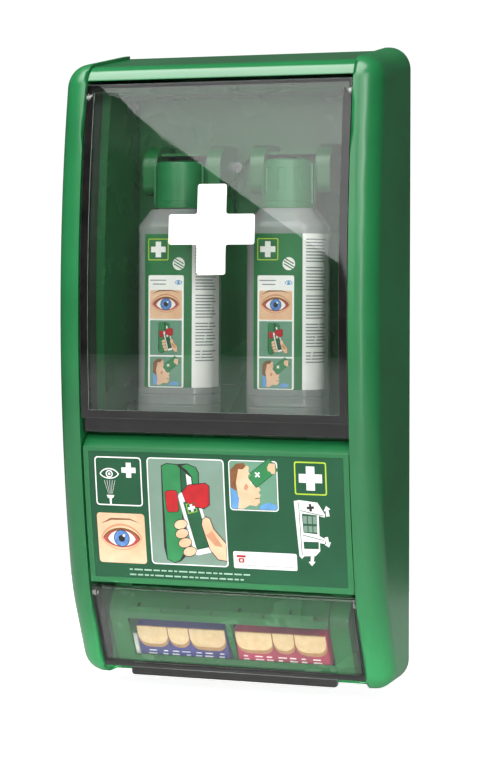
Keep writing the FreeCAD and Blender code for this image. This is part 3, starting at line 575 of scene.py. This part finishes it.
cap = {
    "base": 182.3, "sides": 80,
    "rings": ((0.0, 22.7), (1.0, 23.0), (4.2, 22.9), (4.5, 22.5), (6.3, 22.45), (6.6, 22.8), (11.5, 22.7),
              (14.6, 22.6), (35.4, 22.2), (39.0, 22.0), (41.6, 21.3), (42.7, 19.8), (43.0, 17.5)),
    "fluteLow": 14.6, "fluteHigh": 35.4, "flutes": 10, "fluteDepth": 0.9, "fluteRim": 0.4, "fluteSlope": 0.3,
    # four gripping ribs: width, depth and height, then how far they stand from the axis
    "rib": (2.2, 1.8, 35.0), "ribOut": 22.4, "ribApart": 4.0, "ribMiddle": 21.5,
}


def makeCap(centreX, body, node):
    x0, d0, z0 = centreX, bottle["depth"], bottle["floor"] + cap["base"]
    bpy.ops.object.select_all(action="DESELECT")
    bpy.ops.mesh.primitive_circle_add(vertices=cap["sides"], radius=cap["rings"][0][1] / 1000.0,
                                      fill_type="NGON", location=toFrame(x0, d0, z0))
    piece = bpy.context.object
    pivot = toFrame(x0, d0, z0)
    editAll(piece)
    last = cap["rings"][0]
    for ring in cap["rings"][1:]:
        bpy.ops.mesh.extrude_region_move(TRANSFORM_OT_translate={"value": (0, 0, (ring[0] - last[0]) / 1000.0)})
        k = ring[1] / last[1]
        bpy.ops.transform.resize(value=(k, k, 1.0), center_override=pivot)
        last = ring
    leaveEdit()
    outward(piece)
    step = 360.0 / cap["flutes"]

    def inFlute(face):
        # face centres are still in the piece's own coordinates, about its axis
        z = face.center.z * 1000.0
        turn = math.degrees(math.atan2(face.center.y, face.center.x)) % step
        upright = abs(face.normal.z) < 0.5
        return upright and cap["fluteLow"] < z < cap["fluteHigh"] and abs(turn - step / 2) < step * 0.2

    editAll(piece)
    selectFaces(piece, inFlute)
    bpy.ops.mesh.inset(thickness=cap["fluteRim"] / 1000.0, depth=0.0)
    bpy.ops.mesh.inset(thickness=cap["fluteSlope"] / 1000.0, depth=-cap["fluteDepth"] / 1000.0)
    leaveEdit()
    parts = [piece]
    for side in (-1, 1):
        for row in (-1, 1):
            bpy.ops.object.select_all(action="DESELECT")
            where = toFrame(x0 + side * cap["ribOut"], d0 + row * cap["ribApart"], z0 + cap["ribMiddle"])
            bpy.ops.mesh.primitive_cube_add(size=1.0, location=where)
            rib = bpy.context.object
            rib.scale = Vector(cap["rib"]) / 1000.0
            onlySelect(rib)
            bpy.ops.object.transform_apply(location=False, rotation=False, scale=True)
            bevelled(rib, 0.5)
            parts.append(rib)
    onlySelect(piece)
    for part in parts:
        part.select_set(True)
    bpy.ops.object.join()
    return settle(bpy.context.object, node.replace("_", "") + "Shown", "greenPolypropylene", body, node)


def pictureEye(surface, body, x, z, width, height, lift, **more):
    # a plain drawn eye: lids, rim, white, iris and pupil
    w = width
    layers = (
        ("skinInk", roundRect(x, z, width, height, width * 0.05)),
        ("skinShadeInk", eyeShape(x, z + w * 0.02, w * 0.90, w * 0.60)),
        ("skinInk", eyeShape(x, z + w * 0.01, w * 0.86, w * 0.53)),
        ("rimInk", eyeShape(x, z, w * 0.80, w * 0.42)),
        ("whiteInk", eyeShape(x, z, w * 0.60, w * 0.36)),
        ("darkInk", oval(x, z + w * 0.01, w * 0.175, w * 0.18)),
        ("irisInk", oval(x, z + w * 0.01, w * 0.16, w * 0.165)),
        ("darkInk", oval(x, z + w * 0.01, w * 0.07, w * 0.07)),
        ("whiteInk", oval(x + w * 0.05, z + w * 0.07, w * 0.028, w * 0.028, 12)),
    )
    for index, (ink, loop) in enumerate(layers):
        stamp(body, ink, [loop], surface, lift + 0.02 * index, **more)
    lash = (eyeShape(x, z + w * 0.012, w * 0.82, w * 0.44)[:17]
            + [(px, pz - w * 0.02) for px, pz in eyeShape(x, z, w * 0.80, w * 0.42)[:17]][::-1])
    stamp(body, "brownInk", [lash], surface, lift + 0.2, **more)
    brow = [(x - w * 0.45, z + w * 0.30), (x - w * 0.2, z + w * 0.39), (x + w * 0.2, z + w * 0.40),
            (x + w * 0.44, z + w * 0.33), (x + w * 0.2, z + w * 0.43), (x - w * 0.22, z + w * 0.43)]
    stamp(body, "brownInk", [brow], surface, lift + 0.02, **more)


def pictureTwist(surface, body, x, z, k, lift, **more):
    # a hand twisting a bottle out of its red-topped fork
    def put(ink, points, step):
        stamp(body, ink, [moved(points, x, z, k)], surface, lift + 0.02 * step, **more)

    put("darkInk", [(-22.2, 41.5), (-17, 43.8), (-7, 43.2), (2, 44), (10, 41), (12.6, 36), (12, 20),
                    (6, 14), (-1, 16), (-2, -36), (-8, -42), (-14, -44), (-21, -41), (-23, -30)], 0)
    put("leafGreenInk", [(-21.4, 41.0), (-17, 43.0), (-7.5, 42.4), (-4.8, 39), (-4.8, -34), (-9, -41),
                         (-14, -43.2), (-20.4, -40.5)], 1)
    put("deepGreenInk", [(-3.9, 39), (-3.9, -34), (-2.8, -36), (-1.8, 14), (5, 13.4), (5, 30), (0.5, 36)], 1)
    put("leafGreenInk", [(-3.5, 41.6), (2, 43.2), (9.4, 40.4), (11.8, 35.6), (11.2, 20.5), (6, 15),
                         (6.4, 32), (1.5, 38)], 2)
    put("whiteInk", [(0.5, 35), (5, 32), (6.5, 14), (2, 14)], 3)
    put("darkInk", moved(roundRect(0, 0, 12.0, 19.5, 3), -13.4, 10.6, 1.0, 4.0), 4)
    put("redInk", moved(roundRect(0, 0, 10.8, 18.4, 2.6), -13.4, 10.6, 1.0, 4.0), 5)
    put("greyInk", moved(roundRect(0, 0, 19.6, 57.0, 4), 7.6, -7.5, 1.0, 14.0), 4)
    put("whiteInk", moved(roundRect(0, 0, 18.2, 55.6, 3.6), 7.6, -7.5, 1.0, 14.0), 5)
    put("deepGreenInk", moved(roundRect(0, 0, 13.0, 43.0, 1), 8.2, -9.0, 1.0, 14.0), 6)
    put("yellowGreenInk", moved(roundRect(0, 0, 8.6, 8.6, 0.6), 4.4, 5.4, 1.0, 14.0), 7)
    put("deepGreenInk", moved(roundRect(0, 0, 7.6, 7.6, 0.4), 4.4, 5.4, 1.0, 14.0), 8)
    put("whiteInk", moved(crossShape(0, 0, 6.4, 2.3), 4.4, 5.4, 1.0, 14.0), 9)
    put("darkInk", [(-4.2, 19), (2, 25.8), (18, 27.8), (21.6, 25), (21.4, 8.5), (16, 4.8), (6, 6), (-1, 10)], 7)
    put("redInk", [(-3.6, 18.8), (2.2, 25.0), (17.8, 27.0), (20.8, 24.6), (20.6, 8.9), (15.8, 5.6),
                   (6.2, 6.8), (-0.6, 10.6)], 8)
    for index, (fx, fz) in enumerate(((-6.4, -9.5), (-5.6, -17.5), (-3.2, -25.5), (0.6, -33))):
        put("darkInk", moved(oval(0, 0, 6.6, 4.5, 20), fx, fz, 1.0, 18.0), 10 + 2 * index)
        put("skinInk", moved(oval(0, 0, 6.0, 3.9, 20), fx, fz, 1.0, 18.0), 11 + 2 * index)
    put("darkInk", [(13.4, -4), (17, -1.4), (21, -3), (24, -12), (34.4, -24), (34.4, -40.5), (26, -39.5),
                    (19, -31), (15, -18), (12.4, -9)], 10)
    put("skinInk", [(13.9, -4.6), (17, -2.2), (20.4, -3.6), (23.4, -12.4), (34.0, -24.8), (34.0, -39.8),
                    (26.3, -38.8), (19.6, -30.6), (15.7, -17.8), (13.1, -9)], 11)
    put("skinShadeInk", [(16, -18), (22, -14), (30, -26), (31, -28), (24, -27)], 12)


def pictureRinse(surface, body, x, z, k, lift, **more):
    # a plain head tipped back, a bottle held over the eye, blue cloths
    def put(ink, points, step):
        stamp(body, ink, [moved(points, x, z, k)], surface, lift + 0.02 * step, **more)

    put("midGreenInk", roundRect(0, 0, 41.4, 41.0, 2.2), 0)
    put("brownInk", [(-20.4, 13), (-15, 18.5), (-8, 19.5), (-4, 12), (-11, -2), (-20.4, -7)], 1)
    put("skinInk", [(-13, 14), (-5, 13.5), (-1, 8), (0.4, 2.5), (4.6, -1), (6.4, -3.4), (4.4, -5.4),
                    (6.2, -8), (4.8, -10.4), (5.4, -14), (2, -17.5), (-4, -16.8), (-9.5, -20.2),
                    (-17, -20.2), (-14, -9), (-15.6, 2)], 2)
    put("skinShadeInk", [(-8.5, 0), (-6, 1.6), (-4.4, -1), (-6, -4.4), (-8.4, -3.4)], 3)
    put("whiteInk", eyeShape(-0.6, 2.4, 4.4, 2.8, 8), 3)
    put("blueInk", oval(-0.4, 2.4, 1.0, 1.1, 12), 4)
    put("darkInk", [(1.0, -10.9), (4.4, -10.2), (4.4, -10.8), (1.0, -11.5)], 4)
    put("deepGreenInk", moved(roundRect(0, 0, 26, 13.4, 1.4), 8.6, 11.2, 1.0, 38.0), 5)
    put("leafGreenInk", moved(roundRect(0, 0, 24.6, 12.0, 1.0), 8.6, 11.2, 1.0, 38.0), 6)
    put("whiteInk", moved(crossShape(0, 0, 5.4, 1.4), 4.0, 9.6, 1.0, 45.0), 7)
    put("skinInk", [(14.6, 19.6), (20.0, 19.6), (20.0, 11.5), (17.2, 10.4), (15.4, 12.6), (13.4, 13.2),
                    (13.0, 16.2)], 7)
    put("skinInk", [(-12.6, 3), (-10.5, 12.5), (-5.5, 17.4), (-3.4, 16), (-4, 12), (-2.2, 9), (-4.0, 7.4),
                    (-7, 2), (-9, -3)], 6)
    put("blueInk", [(-20.4, -2), (-16.5, -4.5), (-13.2, -11), (-14.5, -20.2), (-20.4, -20.2)], 6)
    put("blueInk", [(4.0, -20.2), (6.5, -16.5), (13, -14), (20.4, -16), (20.4, -20.2)], 6)


def firstAidSign(surface, body, x, z, size, lift, **more):
    stamp(body, "yellowGreenInk", [roundRect(x, z, size, size, size * 0.07),
                                   roundRect(x, z, size * 0.915, size * 0.915, size * 0.045)],
          surface, lift, **more)
    stamp(body, "whiteInk", [crossShape(x, z, size * 0.72, size * 0.265)], surface, lift, **more)


for side, sign in (("left", -1), ("right", 1)):
    print(side + " bottle")
    centreX = sign * bottle["spacing"] / 2
    body = side + "_bottle"
    place = (centreX, bottle["depth"], bottle["floor"])
    piece = raiseRings(body, place, (bottle["halfWidth"], bottle["halfDepth"]), bottle["corner"],
                       bottle["rings"])
    settle(piece, side + "BottleShown", "milkyPolyethylene", body, side + "_bottle", 25.0)
    makeCap(centreX, "cabinet", side + "_cap")
    carried(side + "_eye_cup", "paleElastomer")
    wrap = bottleSurface(centreX)
    wide = {"cuts": "zx", "pitch": 4.0}
    film = printed("film", [roundRect(-0.5, 93.0, 44.0, 134.0, 0.8)], wrap, 0.22, **wide)
    settle(film, side + "LabelShown", "bottleFilmGreen", body, side + "_bottle_label")
    stamp(body, "whiteInk", [roundRect(41.0, 93.0, 39.0, 134.0, 0.8)], wrap, 0.20, **wide)
    firstAidSign(wrap, body, -9.5, 146.5, 19.0, 0.30, **wide)
    stamp(body, "whiteInk", [oval(9.5, 134.0, 5.6, 5.6)], wrap, 0.30, **wide)
    stamp(body, "bottleFilmGreen",
          [moved(roundRect(0, 0, 10.4, 1.0, 0.2), 9.5, 134.0 + k, 1.0, -30.0) for k in (-2.6, 0, 2.6)],
          wrap, 0.34, **wide)
    stamp(body, "whiteInk", [roundRect(-2.2, 75.0, 33.0, 98.0, 1.6)], wrap, 0.30, **wide)
    for line in range(2):
        stamp(body, "greyInk", [roundRect(-9.5 + line, 119.6 - 3.4 * line, 15.0 - 3 * line, 0.9, 0.3)], wrap,
              0.34, **wide)
    stamp(body, "blueInk", [eyeShape(9.4, 117.6, 7.0, 4.4), eyeShape(9.4, 117.6, 5.4, 2.9)], wrap, 0.34, **wide)
    stamp(body, "blueInk", [oval(9.4, 117.6, 1.3, 1.3)], wrap, 0.34, **wide)
    pictureEye(wrap, body, -2.2, 98.4, 29.6, 25.0, 0.34, **wide)
    stamp(body, "midGreenInk", [roundRect(-2.2, 69.4, 29.6, 30.4, 0.8)], wrap, 0.34, **wide)
    stamp(body, "midGreenInk", [roundRect(-2.2, 39.8, 29.6, 26.0, 0.8)], wrap, 0.34, **wide)
    lines = []
    for row in range(40):
        if row % 9 != 8:
            length = 27.0 - 2.5 * ((row * 7) % 4)
            lines.append(roundRect(24.5 + length / 2, 155.0 - 2.7 * row, length, 1.0, 0.3, 2))
    stamp(body, "greyInk", lines, wrap, 0.26, **wide)
    pictureTwist(wrap, body, -2.2, 69.4, 0.31, 0.38, **wide)
    pictureRinse(wrap, body, -2.2, 39.8, 0.58, 0.38, **wide)

print("panel prints")
panelBody = "front_panel"


def onPanel(ink, loops, lift=0.05):
    stamp(panelBody, ink, loops, panelSurface, lift)


# the eyewash sign: eye, cross, jets and cup in a white outline
onPanel("whiteInk", [roundRect(-88.2, 177.9, 43.5, 43.0, 3.2), roundRect(-88.2, 177.9, 41.3, 40.8, 2.4)])
onPanel("whiteInk", [eyeShape(-96.6, 184.2, 18.0, 10.4), eyeShape(-96.6, 184.2, 15.6, 8.0)])
onPanel("whiteInk", [oval(-96.6, 184.2, 3.3, 3.3), oval(-96.6, 184.2, 2.3, 2.3)])
onPanel("whiteInk", [oval(-96.6, 184.2, 1.2, 1.2, 16)])
onPanel("whiteInk", [crossShape(-78.4, 187.9, 13.2, 4.7)])
for fan in (-2, -1, 0, 1, 2):
    onPanel("whiteInk", [[(-96.5 + fan * 2.5 - 0.16, 178.6), (-96.5 + fan * 2.5 + 0.16, 178.6),
                          (-96.4 + fan * 0.9 + 0.12, 166.8), (-96.4 + fan * 0.9 - 0.12, 166.8)]])
onPanel("whiteInk", [[(-100.0, 165.6), (-92.8, 165.6), (-93.6, 163.4), (-95.4, 162.4), (-95.6, 157.2),
                      (-97.2, 157.2), (-97.4, 162.4), (-99.2, 163.4)]])
# the three pictures in their frames
onPanel("skinInk", [roundRect(-88.1, 127.6, 44.4, 44.2, 2.8)], 0.03)
pictureEye(panelSurface, panelBody, -88.1, 127.0, 42.6, 42.0, 0.05)
onPanel("whiteInk", [roundRect(-26.0, 152.9, 70.6, 93.8, 3.4), roundRect(-26.0, 152.9, 68.6, 91.8, 2.6)])
onPanel("greyGreenInk", [roundRect(-26.0, 152.9, 68.6, 91.8, 2.6)], 0.03)
pictureTwist(panelSurface, panelBody, -26.0, 151.5, 1.0, 0.05)
onPanel("whiteInk", [roundRect(35.3, 178.1, 43.8, 43.4, 3.0), roundRect(35.3, 178.1, 42.0, 41.6, 2.3)])
pictureRinse(panelSurface, panelBody, 35.3, 178.1, 1.0, 0.05)
firstAidSign(panelSurface, panelBody, 86.2, 186.0, 28.4, 0.05)
# a white strip with a telephone and a line to write on
onPanel("whiteInk", [roundRect(42.6, 113.2, 57.0, 14.8, 1.4)])
onPanel("redInk", [roundRect(21.2, 112.8, 5.2, 4.0, 1.2)], 0.09)
onPanel("redInk", [moved(roundRect(0, 0, 8.4, 2.0, 0.9), 21.2, 116.4)], 0.09)
onPanel("whiteInk", [oval(21.2, 112.8, 1.1, 1.1, 14)], 0.12)
onPanel("greyInk", [roundRect(20.5 + 2.2 * dash, 108.6, 1.5, 0.8, 0.2, 2) for dash in range(22)], 0.09)
# two rows of bars without letters, where such a panel carries its small print
for row in range(2):
    words, at = [], -82.8
    for word in range(16):
        size = 3.0 + (word * 5 + row * 3) % 6
        words.append(roundRect(at + size / 2, 100.2 - 4.6 * row, size, 1.3, 0.4, 2))
        at += size + 1.4
    onPanel("paleGreenInk", words)

# a small drawing of the opened cabinet, with its arrows
onPanel("whiteInk", [[(70.8, 166.4), (76.0, 167.2), (91.5, 165.6), (98.0, 155.4), (97.4, 153.0),
                      (92.2, 154.4), (92.2, 137.0), (97.2, 134.4), (96.6, 130.4), (92.2, 131.0),
                      (92.2, 124.0), (88.0, 119.6), (78.0, 119.0), (75.6, 116.6), (73.6, 119.0)]])
onPanel("greenFilm", [[(77.4, 155.8), (90.6, 154.8), (90.4, 138.4), (78.2, 139.4)]], 0.08)
for column in range(3):
    onPanel("greyGreenInk", [roundRect(80.0 + 4.3 * column, 150.4, 3.4, 6.6, 0.2, 2),
                             roundRect(80.2 + 4.3 * column, 142.6, 3.4, 5.4, 0.2, 2)], 0.10)
onPanel("greenFilm", [[(77.8, 131.6), (91.2, 131.8), (91.0, 125.6), (78.0, 125.4)],
                      [(77.2, 137.6), (96.2, 133.6), (96.0, 133.0), (77.2, 137.0)]], 0.08)
onPanel("greenFilm", [[(74.6, 165.0), (75.2, 165.0), (76.4, 119.6), (75.8, 119.6)],
                      [(76.0, 158.6), (97.0, 154.6), (96.8, 154.0), (76.0, 158.0)]], 0.08)
onPanel("darkInk", [moved(crossShape(0, 0, 6.4, 2.2), 85.2, 161.0, 1.0, 6.0)], 0.10)
for ax, az, turn in ((99.8, 158.8, 15.0), (99.0, 131.6, 200.0), (84.6, 115.0, 180.0)):
    onPanel("whiteInk", [moved([(-2.4, -5.0), (1.0, -5.4), (1.6, 0.6), (3.6, 0.8), (0.4, 4.8),
                                (-3.4, 0.4), (-1.4, 0.4)], ax, az, 0.9, turn)])

# Plasters and their cards.

print("plasters")
refill = {"front": 49.33, "foot": 16.7, "lean": 26.0, "x0": 4.0}


def cardSurface(u, v, lift):
    # v runs up the leaning face of the card
    c, t = math.cos(math.radians(refill["lean"])), math.sin(math.radians(refill["lean"]))
    return toFrame(u, refill["front"] + v * t + lift * c, refill["foot"] + v * c - lift * t)


# each column's width and how much higher it ends, then how its layers hang
columns = ((34.0, 0.0), (20.0, 1.0), (29.0, 0.4))
hanging = {"layers": 4, "low": 15.4, "step": 1.5, "high": 33.6, "between": 1.0, "round": 9.5,
           "lift": 0.25, "pitch": 0.42, "sheet": 0.34, "frontLift": 1.55}
for side, sign in (("left", -1), ("right", 1)):
    carried(side + "_refill", {"left": "violetCard", "right": "roseCard"}[side], 0.4)
    strips = []
    at = refill["x0"] + 0.6
    for width, drop in columns:
        for layer in range(hanging["layers"]):
            low = hanging["low"] + drop - hanging["step"] * (hanging["layers"] - 1 - layer)
            middle = sign * (at + width / 2)
            half = (width - hanging["between"]) / 2
            r = min(half - 0.4, hanging["round"])
            bends = [(r * math.cos(math.radians(a)), r * math.sin(math.radians(a))) for a in range(0, 91, 10)]
            outline = ([(middle + half, hanging["high"]), (middle - half, hanging["high"])]
                       + [(middle - half + r - c, low + r - t) for c, t in bends]
                       + [(middle + half - r + t, low + r - c) for c, t in bends])
            strip = printed("strip", [outline], cardSurface, hanging["lift"] + hanging["pitch"] * (layer + 1),
                            cuts="")
            onlySelect(strip)
            sheet = strip.modifiers.new("sheet", "SOLIDIFY")
            sheet.thickness = hanging["sheet"] / 1000.0
            sheet.offset = -1.0
            bpy.ops.object.modifier_apply(modifier="sheet")
            strips.append(strip)
        at += width
    onlySelect(strips[0])
    for strip in strips:
        strip.select_set(True)
    bpy.ops.object.join()
    shown = settle(bpy.context.object, side + "PlastersShown", "wovenPlaster", "cabinet", side + "_plasters")
    # painted shade: the strips behind the front one get the darker plaster colour for its shade
    shown.data.materials.append(finish("paintedShadePlaster"))
    lean = math.radians(refill["lean"])
    for face in shown.data.polygons:
        centre = face.center * 1000.0
        ahead = -centre.y - refill["front"]
        above = centre.z + cabinet["footBelowOrigin"] - refill["foot"]
        face.material_index = 1 if ahead * math.cos(lean) - above * math.sin(lean) < hanging["frontLift"] else 0
    words = []
    for row in range(2):
        for word in range(7):
            size = 4.0 + (word * 3 + row) % 5
            words.append(roundRect(sign * (9.0 + word * 10.6 + size / 2), 7.4 - 3.2 * row, size, 1.3, 0.3, 2))
    stamp("cabinet", "whiteInk", words, cardSurface, 0.06, cuts="")

joinPrints()

# Floor, light and camera.

print("studio")
studio = {
    "floorBelow": 12.0, "floorSize": 3200.0, "floorAhead": 1000.0, "floorLift": 0.85,
    "front": 0.11, "behind": 0.08, "backdrop": 1.05,
    # place in front of the wall, then where it aims or how it leans, size in metres and power
    "lamps": {
        "paneGlow": {"place": (-585.0, 2500.0, 1160.0), "lean": 60.0, "size": (1.62, 0.62), "power": 10.0},
        "lipBand": {"place": (-860.0, 2500.0, 1820.0), "lean": 0.0, "size": (1.6, 0.40), "power": 12.0},
        "frontKey": {"place": (1000.0, 2200.0, 1350.0), "aim": (0.0, 60.0, 320.0), "size": (1.5, 1.5),
                     "power": 22.0},
        "cheekStrip": {"place": (900.0, 1500.0, 420.0), "aim": (140.0, 60.0, 300.0), "size": (0.12, 1.9),
                       "power": 7.0},
        "lowFront": {"place": (600.0, 1700.0, 60.0), "aim": (-60.0, 60.0, -35.0), "size": (0.5, 0.1),
                     "power": 0.7, "spread": 10.0},
        "topSoft": {"place": (-350.0, 900.0, 2200.0), "aim": (0.0, 100.0, 500.0), "size": (2.0, 1.9),
                    "power": 76.0},
    },
}
bpy.ops.object.select_all(action="DESELECT")
bpy.ops.mesh.primitive_plane_add(size=studio["floorSize"] / 1000.0,
                                 location=toFrame(0, studio["floorAhead"], -studio["floorBelow"]))
floor = bpy.context.object
floor.name = "paleFloor"
paleFloor = finish("paleFloor")
floor.data.materials.append(paleFloor)
seen = addNode(paleFloor, "ShaderNodeLightPath")
lift = addNode(paleFloor, "ShaderNodeMapRange", {"To Max": studio["floorLift"]},
               {"Value": (seen, "Is Camera Ray")})
for node in paleFloor.node_tree.nodes:
    if node.bl_idname == "ShaderNodeBsdfPrincipled":
        node.inputs["Emission Color"].default_value = (1.0, 1.0, 1.0, 1.0)
        paleFloor.node_tree.links.new(lift.outputs["Result"], node.inputs["Emission Strength"])

world = bpy.data.worlds.new("softStudio")
world.use_nodes = True
world.node_tree.nodes.clear()
# a little stronger from the front than from behind, and plain white where the camera sees it
direction = addNode(world, "ShaderNodeTexCoord")
split = addNode(world, "ShaderNodeSeparateXYZ", links={0: (direction, "Generated")})
ahead = addNode(world, "ShaderNodeMapRange",
                {"From Min": 0.75, "From Max": -0.35, "To Min": studio["behind"], "To Max": studio["front"]},
                {"Value": (split, "Y")})
soft = addNode(world, "ShaderNodeBackground", {"Color": (1.0, 1.0, 1.0, 1.0)}, {"Strength": (ahead, "Result")})
plain = addNode(world, "ShaderNodeBackground", {"Color": (1.0, 1.0, 1.0, 1.0), "Strength": studio["backdrop"]})
path = addNode(world, "ShaderNodeLightPath")
blend = addNode(world, "ShaderNodeMixShader", links={0: (path, "Is Camera Ray"), 1: (soft, "Background"),
                                                     2: (plain, "Background")})
addNode(world, "ShaderNodeOutputWorld", links={"Surface": (blend, "Shader")})
bpy.context.scene.world = world

for name, lamp in studio["lamps"].items():
    light = bpy.data.lights.new(name, "AREA")
    light.shape = "RECTANGLE"
    light.size, light.size_y = lamp["size"]
    light.energy = lamp["power"]
    light.spread = math.radians(lamp.get("spread", 180.0))
    holder = bpy.data.objects.new(name, light)
    bpy.context.scene.collection.objects.link(holder)
    holder.location = toFrame(*lamp["place"])
    if "lean" in lamp:
        # stands parallel to the wall, its long side leaning this far from level
        t = math.radians(lamp["lean"])
        along = Vector((math.cos(t), 0, -math.sin(t)))
        away = Vector((0, -1, 0))
        holder.rotation_euler = Matrix((along, away.cross(along), away)).transposed().to_euler()
    else:
        holder.rotation_euler = (toFrame(*lamp["aim"]) - holder.location).to_track_quat("-Z", "Y").to_euler()

bpy.context.scene.view_settings.view_transform = "Standard"

camera = {"azimuth": 18.5, "pitch": -0.4, "roll": 0.2, "distance": 1.8176, "aim": (13.7, 60.0, 359.7),
          "lens": 97.3, "shiftY": -0.145}
lens = bpy.data.cameras.new("camera")
lens.sensor_width = 36.0
lens.lens = camera["lens"]
lens.shift_y = camera["shiftY"]
lens.clip_start = 0.02
lens.clip_end = 50.0
view = bpy.data.objects.new("camera", lens)
bpy.context.scene.collection.objects.link(view)
a, p = math.radians(camera["azimuth"]), math.radians(camera["pitch"])
back = Vector((math.sin(a) * math.cos(p), -math.cos(a) * math.cos(p), math.sin(p)))
view.location = toFrame(*camera["aim"]) + back * camera["distance"]
view.rotation_euler = back.to_track_quat("Z", "Y").to_euler()
view.rotation_euler.rotate_axis("Z", math.radians(camera["roll"]))
bpy.context.scene.camera = view
